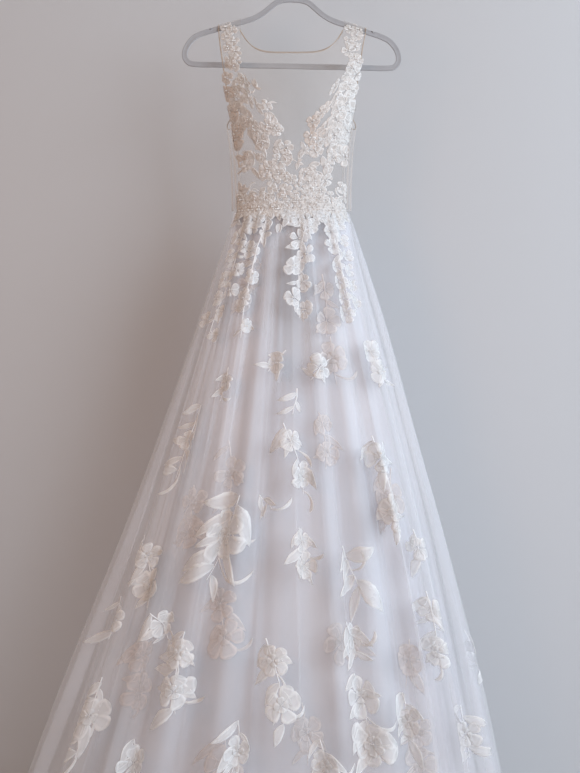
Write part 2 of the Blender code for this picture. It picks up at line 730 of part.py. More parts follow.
def hanger_frame(material, collection):
    """The closed flocked loop: two flat outlines, one inside the other, with chamfered edges."""
    curve = bpy.data.curves.new("hanger_frame", "CURVE")
    curve.dimensions = "2D"
    curve.fill_mode = "BOTH"
    curve.extrude = FRAME_DEEP / 2 - FRAME_CHAMFER
    curve.bevel_depth = FRAME_CHAMFER
    curve.bevel_resolution = 0
    half = MEMBER_WIDE / 2 - FRAME_CHAMFER
    for outline in (with_notches(hanger_outline(half)), hanger_outline(-half)):
        spline = curve.splines.new("POLY")
        spline.points.add(len(outline) - 1)
        for point, (x, z) in zip(spline.points, outline):
            point.co = (x, z - FRAME_PIVOT, 0, 1)
        spline.use_cyclic_u = True
    frame = add_object("hanger_frame", curve, material, collection)
    frame.location = (0, 0, FRAME_PIVOT)
    frame.rotation_euler = (math.pi / 2, FRAME_TILT, 0)
    return frame


def hanger_collar(crown, material, collection):
    """The turned collar on the crown, with a blind hole that holds the hook's wire."""
    hole = WIRE / 2 + SEAM_GAP
    bottom = crown[2] + SEAM_GAP
    profile = (
        (0.0, COLLAR_TOP - COLLAR_HOLE),
        (hole, COLLAR_TOP - COLLAR_HOLE),
        (hole, COLLAR_TOP),
        (COLLAR_RADIUS - 0.001, COLLAR_TOP),
        (COLLAR_RADIUS, COLLAR_TOP - 0.001),
        (COLLAR_RADIUS, bottom),
        (0.0, bottom),
    )
    mesh = bpy.data.meshes.new("hanger_collar")
    edges = [(i, i + 1) for i in range(len(profile) - 1)]
    mesh.from_pydata([(x, 0, z) for x, z in profile], edges, [])
    collar = add_object("hanger_collar", mesh, material, collection)
    collar.location.x = crown[0]
    turned = collar.modifiers.new("turned", "SCREW")
    turned.steps = COLLAR_STEPS
    turned.render_steps = COLLAR_STEPS
    turned.use_merge_vertices = True
    turned.merge_threshold = 0.00001
    return collar


def hanger_hook(crown, material, collection):
    """The wire hook: round its top from a free tip on the left, then down into the collar."""
    radius = HOOK_INNER + WIRE / 2
    centre = -HOOK_INNER
    angles = np.radians(np.linspace(200, -55, 12))
    route = [(radius * math.cos(a), centre + radius * math.sin(a)) for a in angles]
    route += [(crown[0] + 0.003, COLLAR_TOP + 0.009), (crown[0], COLLAR_TOP + 0.003)]
    route += [(crown[0], COLLAR_TOP - COLLAR_HOLE + SEAM_GAP)]
    curve = bpy.data.curves.new("hanger_hook", "CURVE")
    curve.dimensions = "3D"
    curve.bevel_depth = WIRE / 2
    curve.bevel_resolution = 2
    curve.use_fill_caps = True
    spline = curve.splines.new("POLY")
    spline.points.add(len(route) - 1)
    for point, (x, z) in zip(spline.points, route):
        point.co = (x, 0, z, 1)
    return add_object("hanger_hook", curve, material, collection)


def straps(material, collection):
    """A strip of net over each arm, with the same wall as the panels that it joins."""
    for side, name in ((-1, "strap_left"), (1, "strap_right")):
        points = strap_grid(side)
        normals = grid_facing(points, closed=False)
        Panel(points, normals, NET_WALL).solid(name, material, collection)


def boning(name, panel, column, material, collection):
    """A narrow channel that runs up a side panel from its waist."""
    lace = Lace(panel)
    rows = panel.points.shape[0]
    lace.stem([(column, 0.08), (column, (rows - 1) / 2), (column, rows - 1.12)], BONING_WIDE)
    lace.solid(name, material, collection)


def main():
    for thing in list(bpy.data.objects):
        bpy.data.objects.remove(thing, do_unlink=True)
    collection = bpy.data.collections.new(COLLECTION)
    bpy.context.scene.collection.children.link(collection)

    flock = finish("flock", (0.36, 0.36, 0.38), 0.9)
    steel = finish("steel", (0.60, 0.60, 0.62), 0.3, 1.0)
    net = finish("net", (0.70, 0.60, 0.54), 0.8)
    tulle = finish("tulle", (0.80, 0.77, 0.77), 0.7)
    lining = finish("lining", (0.72, 0.68, 0.68), 0.6)
    lace = finish("lace", (0.86, 0.84, 0.84), 0.5)

    crown = tilted((0, 0, -0.0765 + MEMBER_WIDE / 2))
    hanger_frame(flock, collection)
    hanger_collar(crown, steel, collection)
    hanger_hook(crown, steel, collection)

    front = bodice_half(0, FRONT_COLUMNS, NECK_FRONT, 0)
    front.solid("bodice_front", net, collection)
    bodice_half(180, BACK_COLUMNS, NECK_BACK, -1).solid("bodice_back", net, collection)
    straps(net, collection)
    for side, name in ((-1, "left"), (1, "right")):
        panel = side_panel(side)
        panel.solid("side_" + name, net, collection)
        for place, column in BONING_COLUMNS:
            if side < 0:
                column = SIDE_COLUMNS - column
            boning("boning_" + name + "_" + place, panel, column, net, collection)
    for name, vines in BODICE_VINES.items():
        sewn = Lace(front)
        for vine in vines:
            sewn.vine(*vine)
        sewn.solid("lace_bodice_" + name, lace, collection)

    overlay_front, overlay_back = layer(OVERLAY, OVERLAY_FOLDS)
    overlay_front.solid("overlay_front", tulle, collection)
    overlay_back.solid("overlay_back", tulle, collection)
    for name, panel in zip(("tulle_front", "tulle_back"), layer(TULLE, TULLE_FOLDS)):
        panel.solid(name, tulle, collection)
    for name, panel in zip(("lining_front", "lining_back"), layer(LINING, LINING_FOLDS)):
        panel.solid(name, lining, collection)
    for sprays, panel in ((FRONT_SPRAYS, overlay_front), (BACK_SPRAYS, overlay_back)):
        for name, vine in sprays.items():
            sewn = Lace(panel)
            sewn.vine(*vine)
            sewn.solid("spray_" + name, lace, collection)


main()
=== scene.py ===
"""The finish of the wedding dress and its hanger: sheer net and tulle, stitched lace, beads and flocking.

Every new piece is a surface worked out on a grid, in metres, in the part's own frame: +Z up, the front faces
-Y, and +X is to the viewer's right. Angles go round the body in degrees: 0 is centre front, 90 the right.
"""

import math

import bpy
import numpy as np
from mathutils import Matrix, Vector


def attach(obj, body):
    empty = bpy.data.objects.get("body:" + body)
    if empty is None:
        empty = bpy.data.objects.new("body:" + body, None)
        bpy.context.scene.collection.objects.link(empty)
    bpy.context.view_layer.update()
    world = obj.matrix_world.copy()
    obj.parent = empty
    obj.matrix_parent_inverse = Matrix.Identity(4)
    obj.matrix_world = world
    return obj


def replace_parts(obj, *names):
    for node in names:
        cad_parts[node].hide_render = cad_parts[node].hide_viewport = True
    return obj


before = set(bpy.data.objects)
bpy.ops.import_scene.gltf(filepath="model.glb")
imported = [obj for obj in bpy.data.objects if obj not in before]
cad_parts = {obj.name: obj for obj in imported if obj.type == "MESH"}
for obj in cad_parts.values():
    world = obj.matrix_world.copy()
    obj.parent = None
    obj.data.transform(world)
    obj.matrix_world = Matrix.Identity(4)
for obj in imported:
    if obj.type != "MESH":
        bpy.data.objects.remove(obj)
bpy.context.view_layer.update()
chance = np.random.default_rng(11)

SIDES = {-1: "left", 1: "right"}

# The camera stands level with the middle of the dress
CAMERA_PLACE = (-0.003, -2.6, -0.8556)
CAMERA_LENS = 60.1

# The hanger
MEMBER_WIDE = 0.011
FRAME_DEEP = 0.005
FRAME_TILT = math.radians(1.2)
FRAME_PIVOT = -0.2106
ARM_X = 0.1077
ARM_TOP = -0.1198
ARM_FALL = 0.306

# The bodice
WAIST = -0.5083
NECK_FRONT = -0.197
NECK_BACK = -0.174
NECK_SIDE = 35.2
FRONT_SEAM = 60.0
UNDERARM = -0.335
SHOULDER = -0.1375
STRAP_INNER = 0.104
STRAP_OUTER = 0.148
FLAT_SIDE = 0.0042
ROUNDNESS = 2 / 2.3
CUP_RISE = 0.012
CUP_APART = 0.060
CUP_HEIGHT = -0.322
CUP_WIDE = 0.040
CUP_TALL = 0.050
SEAM_GAP = 0.0004
SEAM_TOP = WAIST + (SHOULDER - WAIST) / 2
PANEL_COLUMNS = 97

# How many millimetres, and how many tenths of one, make a metre
MILLIMETRES = 1000
TENTHS = 10000


def table(columns, parts, *rows):
    """Rows as one array for each named column, in metres where so many parts make a metre, or as they are."""
    return {name: np.array(values) / parts for name, values in zip(columns.split(), zip(*rows))}


# Half width, and how far the front and back stand out, at each height of the bodice
BODICE = table(
    "height half_width front back", TENTHS,
    (-1320, 1690, 0, 0), (-1500, 1660, 160, 120), (-1850, 1600, 410, 310), (-2200, 1540, 620, 460),
    (-2600, 1470, 820, 610), (-3000, 1380, 920, 720), (-3400, 1280, 930, 780), (-3800, 1220, 890, 790),
    (-4200, 1190, 830, 770), (-4600, 1170, 770, 740), (-5083, 1160, 730, 710),
)

# Each layer of the skirt: half widths to the left and right, depths, and how high its folds stand
LAYER = "height left right front back fold"
OVERLAY = table(
    LAYER, TENTHS,
    (-5087, 1160, 1160, 730, 710, 0), (-5300, 1210, 1230, 850, 740, 24),
    (-5900, 1400, 1420, 1040, 800, 60), (-7300, 1850, 1850, 1330, 920, 115),
    (-9200, 2470, 2360, 1690, 1040, 180), (-11500, 3270, 2990, 2110, 1150, 250),
    (-13950, 4220, 3570, 2570, 1250, 310), (-16560, 5240, 4100, 3060, 1340, 360),
)
TULLE = table(
    LAYER, TENTHS,
    (-5087, 1143, 1143, 713, 693, 0), (-5500, 1210, 1220, 820, 700, 20),
    (-6800, 1520, 1540, 1040, 750, 65), (-9000, 2130, 2120, 1380, 830, 125),
    (-11500, 2810, 2730, 1780, 900, 180), (-14000, 3620, 3250, 2170, 950, 220),
    (-16520, 4460, 3680, 2580, 990, 250),
)
LINING = table(
    LAYER, TENTHS,
    (-5087, 1126, 1126, 696, 676, 0), (-5600, 1180, 1190, 770, 665, 12),
    (-7600, 1520, 1560, 990, 660, 45), (-10500, 2070, 2190, 1350, 680, 90),
    (-13500, 2730, 2810, 1730, 710, 130), (-16480, 3480, 3310, 2100, 740, 150),
)

# Where each layer's large folds crest, and how high each is against the rest
FOLDS = "around height"
OVERLAY_FOLDS = table(
    FOLDS, 1,
    (-90, 0.7), (-72, 1.1), (-57, 0.7), (-42, 1.2), (-29, 0.8), (-16, 1.1), (-4, 0.7),
    (9, 1.1), (22, 0.7), (36, 1.2), (49, 0.8), (63, 1.2), (77, 0.7), (90, 0.8),
    (113, 0.8), (139, 0.6), (163, 0.8), (188, 0.6), (214, 0.9), (242, 0.6), (270, 0.7),
)
TULLE_FOLDS = table(
    FOLDS, 1,
    (-90, 0.8), (-66, 1.1), (-43, 0.7), (-20, 1.2), (2, 0.8), (24, 1.1), (47, 0.7), (69, 1.1),
    (90, 0.9), (134, 0.7), (179, 0.8), (224, 0.7), (270, 0.8),
)
LINING_FOLDS = table(
    FOLDS, 1,
    (-90, 0.9), (-53, 1.1), (-17, 0.8), (19, 1.1), (55, 0.8), (90, 0.9),
    (150, 0.6), (212, 0.8), (270, 0.9),
)

# Creases placed on each layer: the angles where each starts and ends, the heights between which it
# runs, how wide it is in degrees, and how far it stands out (or, below nought, sinks in) in millimetres.
CREASES = "start finish top bottom wide out"
OVERLAY_CREASES = table(
    CREASES, 1,
    (-84, -86, -0.53, -1.66, 1.5, 5), (-78, -77, -0.7, -1.4, 1.1, -4), (-68, -64, -0.52, -1.66, 1.2, 6),
    (-61, -62, -0.8, -1.66, 1.6, -5), (-52, -50, -0.52, -1.2, 0.9, 4), (-47, -50, -0.6, -1.66, 1.3, 6),
    (-38, -35, -0.52, -1.05, 1.0, 4), (-33, -36, -0.66, -1.66, 1.2, -5),
    (-25, -22, -0.52, -1.66, 0.9, 5), (-20, -24, -0.52, -0.98, 0.8, -3), (-12, -9, -0.58, -1.3, 1.0, 5),
    (-7, -11, -0.95, -1.66, 1.3, -6), (0, 2, -0.52, -1.66, 0.8, 5), (5, 3, -0.52, -0.9, 0.9, -3),
    (12, 16, -0.52, -1.66, 1.0, 6), (17, 15, -0.74, -1.66, 1.5, -5), (26, 29, -0.52, -1.48, 0.8, 5),
    (31, 30, -0.6, -1.1, 1.0, -4), (34, 40, -0.52, -1.66, 1.1, 6), (44, 43, -0.86, -1.66, 1.4, -5),
    (52, 56, -0.52, -1.34, 0.9, 4), (59, 57, -0.62, -1.66, 1.2, 6), (70, 67, -0.52, -1.66, 1.4, -4),
    (75, 78, -0.55, -1.66, 1.1, 6), (85, 86, -0.9, -1.66, 1.2, 4), (98, 95, -0.53, -1.66, 1.6, 4),
    (106, 110, -0.7, -1.66, 1.4, -4), (122, 119, -0.52, -1.3, 1.3, 4), (131, 133, -0.6, -1.66, 1.6, 5),
    (148, 144, -0.52, -1.66, 1.5, -4), (157, 159, -0.8, -1.66, 1.3, 4), (171, 174, -0.52, -1.5, 1.4, 5),
    (181, 178, -0.66, -1.66, 1.7, -4), (196, 198, -0.52, -1.66, 1.3, 4),
    (206, 203, -0.52, -1.2, 1.4, -3), (222, 226, -0.6, -1.66, 1.5, 5), (233, 231, -0.52, -1.66, 1.6, -4),
    (250, 253, -0.52, -1.4, 1.2, 4), (260, 258, -0.75, -1.66, 1.5, 4),
)
TULLE_CREASES = table(
    CREASES, 1,
    (-80, -82, -0.54, -1.65, 2.0, 4), (-58, -55, -0.52, -1.65, 1.6, 5), (-49, -51, -0.7, -1.65, 1.8, -4),
    (-34, -30, -0.52, -1.5, 1.4, 4), (-27, -29, -0.6, -1.65, 1.6, -4), (-11, -8, -0.52, -1.65, 1.2, 5),
    (-3, -5, -0.52, -1.1, 1.5, -3), (9, 12, -0.52, -1.65, 1.3, 4), (17, 15, -0.64, -1.65, 1.7, -4),
    (33, 36, -0.52, -1.65, 1.4, 5), (42, 40, -0.8, -1.65, 1.6, -4), (57, 60, -0.52, -1.36, 1.5, 4),
    (77, 76, -0.6, -1.65, 1.8, 4), (105, 108, -0.54, -1.65, 2.0, 4), (128, 125, -0.6, -1.65, 2.2, -3),
    (152, 155, -0.52, -1.65, 2.0, 4), (176, 172, -0.7, -1.65, 2.2, -3), (204, 207, -0.52, -1.65, 2.0, 4),
    (238, 235, -0.6, -1.65, 2.3, 3), (256, 259, -0.52, -1.65, 1.8, -3),
)
LINING_CREASES = table(
    CREASES, 1,
    (-74, -70, -0.56, -1.64, 3.0, 3), (-44, -46, -0.6, -1.64, 2.6, 4), (-30, -27, -0.8, -1.64, 3.0, -3),
    (-8, -5, -0.54, -1.64, 2.2, 4), (6, 9, -0.62, -1.5, 2.4, -3), (31, 28, -0.56, -1.64, 2.8, 4),
    (44, 47, -0.75, -1.64, 3.0, -3), (72, 69, -0.6, -1.64, 3.0, 3), (118, 122, -0.6, -1.64, 3.4, 3),
    (165, 161, -0.7, -1.64, 3.2, -2), (196, 200, -0.6, -1.64, 3.4, 3), (244, 240, -0.56, -1.64, 3.0, 3),
)

# How the height of the folds drifts up and round the skirt, and how deep the gathers are and how they fade
FOLD_DRIFT = 0.25
DRIFT_UP = 5.0
DRIFT_ROUND = 3.0
GATHER_DEEP = 0.0005
GATHER_FADE = 0.10

# The left and right edges of the bodice's deep V, and the outer edge of its lace
V_EDGE = table(
    "height left right outer", MILLIMETRES,
    (-124, -108, 106, 149), (-140, -108, 106, 147), (-165, -107, 104, 142), (-224, -98, 106, 128),
    (-267, -69, 78, 123), (-300, -44, 59, 122), (-333, -23, 34, 121), (-364, -12, 22, 119),
    (-397, -6, 16, 112), (-415, -1, 10, 107), (-445, 4, 8, 100), (-470, 6, 7, 108), (-520, 6, 7, 117),
)

# The sprays on the front of the skirt. In each row are the x and z where a vine starts and ends, how it bows,
# how many flowers it has and their radius, how many leaves and their length, and for some a tint and a crowd.
# Lengths are in millimetres.
FRONT_SPRAYS = {
    "waist_left": (-86, -530, -162, -760, 0.03, 11, 17, 12, 26, 0.3, 0.9),
    "waist_mid_left": (-50, -530, -97, -760, -0.06, 5, 18, 11, 34, 0.3, 0.6),
    "waist_centre": (30, -530, 14, -725, -0.08, 7, 20, 10, 32, 0.3, 0.8),
    "waist_right": (86, -530, 117, -720, -0.06, 12, 16, 12, 26, 0.3, 0.9),
    "centre_left": (-10, -790, -46, -825, 0.0, 1, 27, 3, 38),
    "centre_right": (72, -805, 36, -840, 0.0, 1, 30, 3, 40),
    "right_knot": (137, -770, 184, -850, 0.1, 2, 27, 6, 36),
    "left_ribbon": (-172, -890, -222, -1030, 0.0, 1, 26, 9, 52),
    "centre_mid": (-16, -925, 21, -1057, 0.12, 2, 26, 8, 48),
    "right_mid": (152, -945, 202, -1140, 0.06, 2, 43, 7, 56),
    "big_left": (-96, -1055, -156, -1215, 0.05, 1, 57, 10, 82),
    "far_left": (-284, -1145, -270, -1265, 0.14, 2, 34, 7, 52),
    "centre_low": (12, -1120, 20, -1205, 0.1, 2, 26, 6, 50),
    "right_leaves": (94, -1155, 130, -1235, 0.0, 0, 22, 7, 70),
    "low_mid_left": (-196, -1305, -212, -1450, -0.12, 2, 36, 9, 56),
    "low_left": (-355, -1405, -405, -1545, 0.0, 1, 48, 9, 70),
    "low_centre": (-48, -1315, -14, -1470, 0.1, 2, 34, 9, 54),
    "low_right": (252, -1245, 276, -1385, 0.08, 2, 30, 8, 54),
    "low_big": (114, -1380, 160, -1540, 0.0, 2, 46, 8, 62),
    "far_right": (320, -1460, 338, -1560, 0.0, 1, 34, 7, 56),
}
BACK_SPRAYS = {
    "back_left": (-66, -540, -108, -720, 0.05, 3, 23, 6, 40),
    "back_right": (66, -540, 102, -720, -0.05, 3, 23, 6, 40),
    "back_mid": (10, -830, -30, -970, 0.1, 2, 34, 5, 54),
    "back_low_left": (-180, -1120, -230, -1300, 0.1, 2, 46, 5, 70),
    "back_low_right": (170, -1100, 204, -1280, -0.1, 2, 46, 5, 70),
}

# Loose leaves, tendrils and small flowers between the sprays, in the same columns
SCATTERED = (
    (-62, -1060, -36, -1085, 0.2, 0, 20, 4, 40), (-262, -1275, -225, -1330, 0.1, 1, 30, 6, 50),
    (98, -1290, 116, -1350, 0.1, 1, 26, 6, 50), (345, -1340, 362, -1420, 0.2, 0, 20, 5, 50),
    (-120, -820, -136, -880, 0.1, 1, 22, 4, 36), (230, -1130, 244, -1190, 0.1, 1, 28, 5, 44),
    (-330, -1260, -345, -1330, 0.1, 1, 30, 5, 50), (50, -1490, 66, -1580, 0.1, 1, 34, 5, 52),
    (-290, -1500, -300, -1590, 0.1, 1, 38, 6, 56), (-96, -1460, -110, -1560, 0.1, 1, 34, 6, 52),
    (205, -1420, 215, -1520, 0.1, 1, 34, 6, 52), (10, -860, 0, -905, 0.1, 0, 20, 3, 36),
)

# The sprays on the second layer, which show through the outer tulle, in the same columns
UNDER_FRONT = (
    (-70, -600, -104, -720, 0.05, 3, 21, 3, 34), (60, -640, 68, -760, 0.05, 2, 24, 3, 36),
    (75, -760, 88, -850, -0.05, 1, 34, 4, 44), (-120, -960, -118, -1090, 0.08, 1, 38, 3, 50),
    (52, -900, 64, -1010, 0.08, 2, 26, 3, 44), (-186, -1040, -206, -1170, 0.06, 2, 36, 3, 54),
    (190, -1010, 176, -1130, 0.05, 1, 42, 3, 52), (-140, -1240, -120, -1350, 0.05, 2, 36, 4, 60),
    (76, -1300, 110, -1360, 0.05, 1, 42, 2, 50), (222, -1330, 214, -1420, 0.05, 1, 40, 2, 54),
    (-286, -1340, -290, -1460, 0.05, 2, 40, 4, 60), (20, -1440, 30, -1540, 0.05, 1, 38, 3, 56),
    (230, -1480, 240, -1590, 0.05, 2, 36, 3, 50), (-120, -1500, -134, -1600, 0.05, 1, 44, 3, 60),
)
UNDER_BACK = (
    (-80, -900, -110, -1040, 0.05, 2, 34, 4, 50), (90, -860, 120, -980, 0.05, 2, 32, 4, 50),
    (20, -1200, 10, -1330, 0.05, 2, 40, 4, 56), (-240, -1400, -260, -1520, 0.05, 1, 44, 4, 60),
    (230, -1380, 250, -1500, 0.05, 1, 44, 4, 60),
)


def cubic(start, finish, leaving, arriving, t):
    """A cubic from start to finish as t goes from 0 to 1, with the slopes at which it leaves and arrives."""
    first = start * (1 + 2 * t) * (1 - t) ** 2 + leaving * t * (1 - t) ** 2
    return first + (finish * t**2 * (3 - 2 * t) + arriving * t**2 * (t - 1))


def smooth(rows, name, height):
    """One column of a table at any height: a cubic between rows whose slopes come from the neighbours."""
    x = rows["height"][::-1]
    y = rows[name][::-1]
    slope = np.gradient(y, x)
    i = np.clip(np.searchsorted(x, height) - 1, 0, len(x) - 2)
    step = x[i + 1] - x[i]
    t = np.clip((height - x[i]) / step, 0, 1)
    return cubic(y[i], y[i + 1], slope[i] * step, slope[i + 1] * step, t)


def ring(around, left, right, front, back):
    """A rounded section: x is the half width times sine to a power, y the depth times cosine to it."""
    angle = np.radians(around)
    across = np.sin(angle)
    ahead = np.cos(angle)
    x = np.where(across < 0, left, right) * np.sign(across) * np.abs(across) ** ROUNDNESS
    ahead = np.where(np.abs(ahead) < 1e-9, 0, ahead)
    depth = np.where(ahead > 0, front, back) * np.abs(ahead) ** ROUNDNESS
    return x, -np.sign(ahead) * (FLAT_SIDE + depth)


def bodice_point(around, height):
    """The bodice's outer surface: the rounded section, and a bell-shaped cup to each side of the front."""
    around, height = np.broadcast_arrays(np.asarray(around, float), np.asarray(height, float))
    half = smooth(BODICE, "half_width", height)
    x, y = ring(around, half, half, smooth(BODICE, "front", height), smooth(BODICE, "back", height))
    sideways = (np.abs(x) - CUP_APART) / CUP_WIDE
    upwards = (height - CUP_HEIGHT) / CUP_TALL
    cup = CUP_RISE * np.exp(-(sideways**2) - upwards**2)
    y = np.where(y < 0, y - cup, y)
    return together(x, y, height)


def unit(vectors):
    """Directions of length one."""
    return vectors / np.maximum(np.linalg.norm(vectors, axis=-1, keepdims=True), 1e-12)


def together(*parts):
    """Coordinates whose shapes match, side by side in the last place of one array."""
    return np.stack(np.broadcast_arrays(*parts), axis=-1)


def facing_of(points):
    """The direction in which a grid of points faces at each of them."""
    return unit(np.cross(np.gradient(points, axis=1), np.gradient(points, axis=0)))


def length_along(path):
    """How far along a path each of its points is."""
    return np.concatenate([[0], np.cumsum(np.linalg.norm(np.diff(path, axis=0), axis=1))])


def grid_faces(rows, columns, start=0):
    """Four-sided faces between the points of a grid, numbered row by row."""
    index = np.arange(rows * columns).reshape(rows, columns) + start
    corners = (index[:-1, :-1], index[:-1, 1:], index[1:, 1:], index[1:, :-1])
    return np.stack([corner.ravel() for corner in corners], axis=1)


def in_scene(name, data):
    """A new object in the scene."""
    made = bpy.data.objects.new(name, data)
    bpy.context.scene.collection.objects.link(made)
    return made


def add_piece(name, points, faces, material, uv, values):
    """A smooth mesh piece of four-sided faces, with a UV and named values at its points."""
    mesh = bpy.data.meshes.new(name)
    points = points.reshape(-1, 3)
    mesh.vertices.add(len(points))
    mesh.vertices.foreach_set("co", points.astype(np.float32).ravel())
    mesh.loops.add(faces.size)
    mesh.loops.foreach_set("vertex_index", faces.astype(np.int32).ravel())
    mesh.polygons.add(len(faces))
    mesh.polygons.foreach_set("loop_start", np.arange(0, faces.size, 4, dtype=np.int32))
    mesh.update(calc_edges=True)
    mesh.validate()
    mesh.shade_smooth()
    if uv is not None:
        layer = mesh.uv_layers.new(name="cloth")
        layer.data.foreach_set("uv", uv.reshape(-1, 2)[faces.ravel()].astype(np.float32).ravel())
    for key, value in (values or {}).items():
        attribute = mesh.attributes.new(key, "FLOAT", "POINT")
        attribute.data.foreach_set("value", np.asarray(value, np.float32).ravel())
    mesh.materials.append(material)
    piece = in_scene(name, mesh)
    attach(piece, "root")
    return piece


class Value:
    """A number that a node gives; arithmetic on it adds Math nodes."""

    def __init__(self, finish, socket):
        self.finish = finish
        self.socket = socket

    def math(self, operation, *others):
        return self.finish.node("ShaderNodeMath", {"operation": operation}, self, *others)

    def __add__(self, other):
        return self.math("ADD", other)

    def __mul__(self, other):
        return self.math("MULTIPLY", other)

    __radd__, __rmul__ = __add__, __mul__

    def __sub__(self, other):
        return self.math("SUBTRACT", other)

    def __rsub__(self, other):
        return self.math("MULTIPLY", -1).math("ADD", other)

    def clamp(self, low=0.0, high=1.0):
        return self.math("MAXIMUM", low).math("MINIMUM", high)


class Finish:
    """One material. Its nodes come from node, and its shader's inputs are set or linked by paint."""

    def __init__(self, name, **constants):
        self.material = bpy.data.materials.new(name)
        self.material.use_nodes = True
        self.tree = self.material.node_tree
        self.shader = self.tree.nodes["Principled BSDF"]
        for key, value in constants.items():
            self.shader.inputs[key.replace("_", " ")].default_value = value

    def node(self, kind, settings=None, *values, output=0, **named):
        """A node of any type: its settings first, then its inputs in order or by name."""
        made = self.tree.nodes.new(kind)
        for key, value in (settings or {}).items():
            setattr(made, key, value)
        for key, value in list(enumerate(values)) + list(named.items()):
            socket = made.inputs[key.replace("_", " ") if isinstance(key, str) else key]
            self.feed(socket, value)
        return Value(self, made.outputs[output])

    def feed(self, socket, value):
        """Links a value to a socket, or sets the socket to a plain number or colour."""
        if isinstance(value, Value):
            self.tree.links.new(value.socket, socket)
        elif value is not None:
            socket.default_value = value

    def paint(self, **inputs):
        for key, value in inputs.items():
            self.feed(self.shader.inputs[key.replace("_", " ")], value)

    def attribute(self, name):
        """A value that the piece holds at its points."""
        return self.node("ShaderNodeAttribute", {"attribute_name": name}, output="Fac")

    def place(self):
        """The piece's own UV."""
        return self.node("ShaderNodeUVMap", {"uv_map": "cloth"})

    def noise(self, vector, scale, detail):
        return self.node("ShaderNodeTexNoise", {}, Vector=vector, Scale=scale, Detail=detail)

    def mottle(self, across, up, detail):
        """Noise on the piece's own UV, stretched."""
        stretched = self.node("ShaderNodeMapping", {}, Vector=self.place(), Scale=(across, up, 1))
        return self.noise(stretched, 1.0, detail)

    def waves(self, direction, scale, **more):
        """Bands across the piece's own UV."""
        kind = {"wave_type": "BANDS", "bands_direction": direction}
        more.update(Vector=self.place(), Scale=scale)
        return self.node("ShaderNodeTexWave", kind, output="Fac", **more)

    def middle(self):
        """How deep in the gathered middle of the skirt a place is, none at the waist and most just below: the
        mask for the shade painted there.
        """
        around, height = (self.node("ShaderNodeSeparateXYZ", {}, self.place(), output=k) for k in "XY")
        below = (3.4 + 3.6 * height).clamp() * (-6.0 - 11.6 * height).clamp()
        return (1 - 3.2 * around.math("ABSOLUTE")).clamp() * below

    def mix(self, share, first, second):
        """A colour between two, by a share."""
        made = self.tree.nodes.new("ShaderNodeMix")
        made.data_type = "RGBA"
        self.feed(made.inputs[0], share)
        self.feed(made.inputs[6], colour(first))
        self.feed(made.inputs[7], colour(second))
        return Value(self, made.outputs[2])

    def bump(self, height, distance, strength=1.0):
        made = self.node("ShaderNodeBump", {}, Strength=strength, Distance=distance, Height=height)
        self.paint(Normal=made)


def colour(value):
    """Three numbers as an opaque colour; anything else as it is."""
    return (*value, 1.0) if isinstance(value, tuple) and len(value) == 3 else value


def darker(tint, share):
    """A tint with each of its parts brought down to a share."""
    return tuple(share * part for part in tint)


def sheer(name, thin, edge, tint, shade, sheer_share, streaks):
    """Fine net: its threads cover a share of the view, more on the flanks of folds and along creases."""
    finish = Finish(name, Roughness=0.55, Sheen_Weight=0.25, Sheen_Roughness=0.5)
    streak = finish.mottle(*streaks, 3.0)
    cloud = finish.mottle(2.2, 1.4, 2.0)
    flank = finish.attribute("flank")
    crease = finish.attribute("crease")
    cover = thin + edge * flank + sheer_share * crease + 0.09 * (streak - 0.5) + 0.12 * (cloud - 0.5)
    # The net is thinner in the skirt's gathered middle, so the shade painted on the lining there shows
    # through
    middle = finish.middle()
    finish.paint(Alpha=(cover - 0.5 * thin * middle).clamp(0.05, 0.96))
    share = (0.5 + 1.3 * (cloud - 0.5) + 0.5 * (streak - 0.5)).clamp()
    finish.paint(Base_Color=finish.mix(share, tint, shade))
    return finish.material


def satin(name):
    """The lining: a soft satin, pinker in places, with shade painted in grey where the folds close below the
    waist.
    """
    finish = Finish(name, Roughness=0.42, Sheen_Weight=0.2)
    drag = finish.mottle(26.0, 1.2, 3.0)
    cloud = finish.mottle(3.0, 1.6, 2.0)
    share = (0.5 + 1.5 * (cloud - 0.5) + 0.5 * (drag - 0.5)).clamp()
    plain = finish.mix(share, (0.76, 0.79, 0.86), (0.79, 0.75, 0.77))
    # Painted shade: the lining turns dark grey in the gathered middle below the waist
    middle = finish.middle()
    finish.paint(Base_Color=finish.mix(0.95 * middle, plain, (0.40, 0.42, 0.46)))
    finish.bump(drag, 0.0006, 0.5)
    return finish.material


def embroidery(name, white, tan, cover, rim_cover, roughness, hollow):
    """Satin stitch: threads that fan along each petal, a corded edge, and a tint for each motif. Shade is
    painted into each petal's middle, by so much as hollow, so that the edge looks bright.
    """
    finish = Finish(name, Roughness=roughness, Sheen_Weight=0.3, Specular_IOR_Level=0.6)
    threads = finish.waves("Y", 1.0, Distortion=1.2, Detail=1.0)
    rim = finish.attribute("rim")
    tone = finish.attribute("tone")
    tinted = finish.mix(tone, white, tan)
    # Painted shade: the middle of each petal, away from its cord, is darkened towards a deep tan
    shaded = finish.mix((1.0 - rim) * hollow * (0.6 + 0.8 * threads), tinted, darker(tan, 0.66))
    finish.paint(Base_Color=shaded)
    finish.paint(Alpha=(cover + (rim_cover - cover) * rim + 0.10 * (threads - 0.5)).clamp())
    finish.bump(threads, 0.0004, 0.6)
    return finish.material


def netting(name, tint, cover):
    """The nude net of the bodice, with its hexagons too fine to see but as a slight mottle."""
    finish = Finish(name, Roughness=0.6)
    mesh_mottle = finish.mottle(900.0, 900.0, 1.0)
    finish.paint(Alpha=(cover + 0.12 * (mesh_mottle - 0.5)).clamp())
    finish.paint(Base_Color=finish.mix(mesh_mottle, tint, darker(tint, 0.92)))
    return finish.material


def thread_edge(name, tint):
    """A rolled and overlocked edge: a cord of close stitches."""
    finish = Finish(name, Roughness=0.55)
    stitches = finish.waves("X", 180.0)
    finish.paint(Base_Color=finish.mix(stitches, tint, darker(tint, 0.8)))
    finish.bump(stitches, 0.0003)
    return finish.material


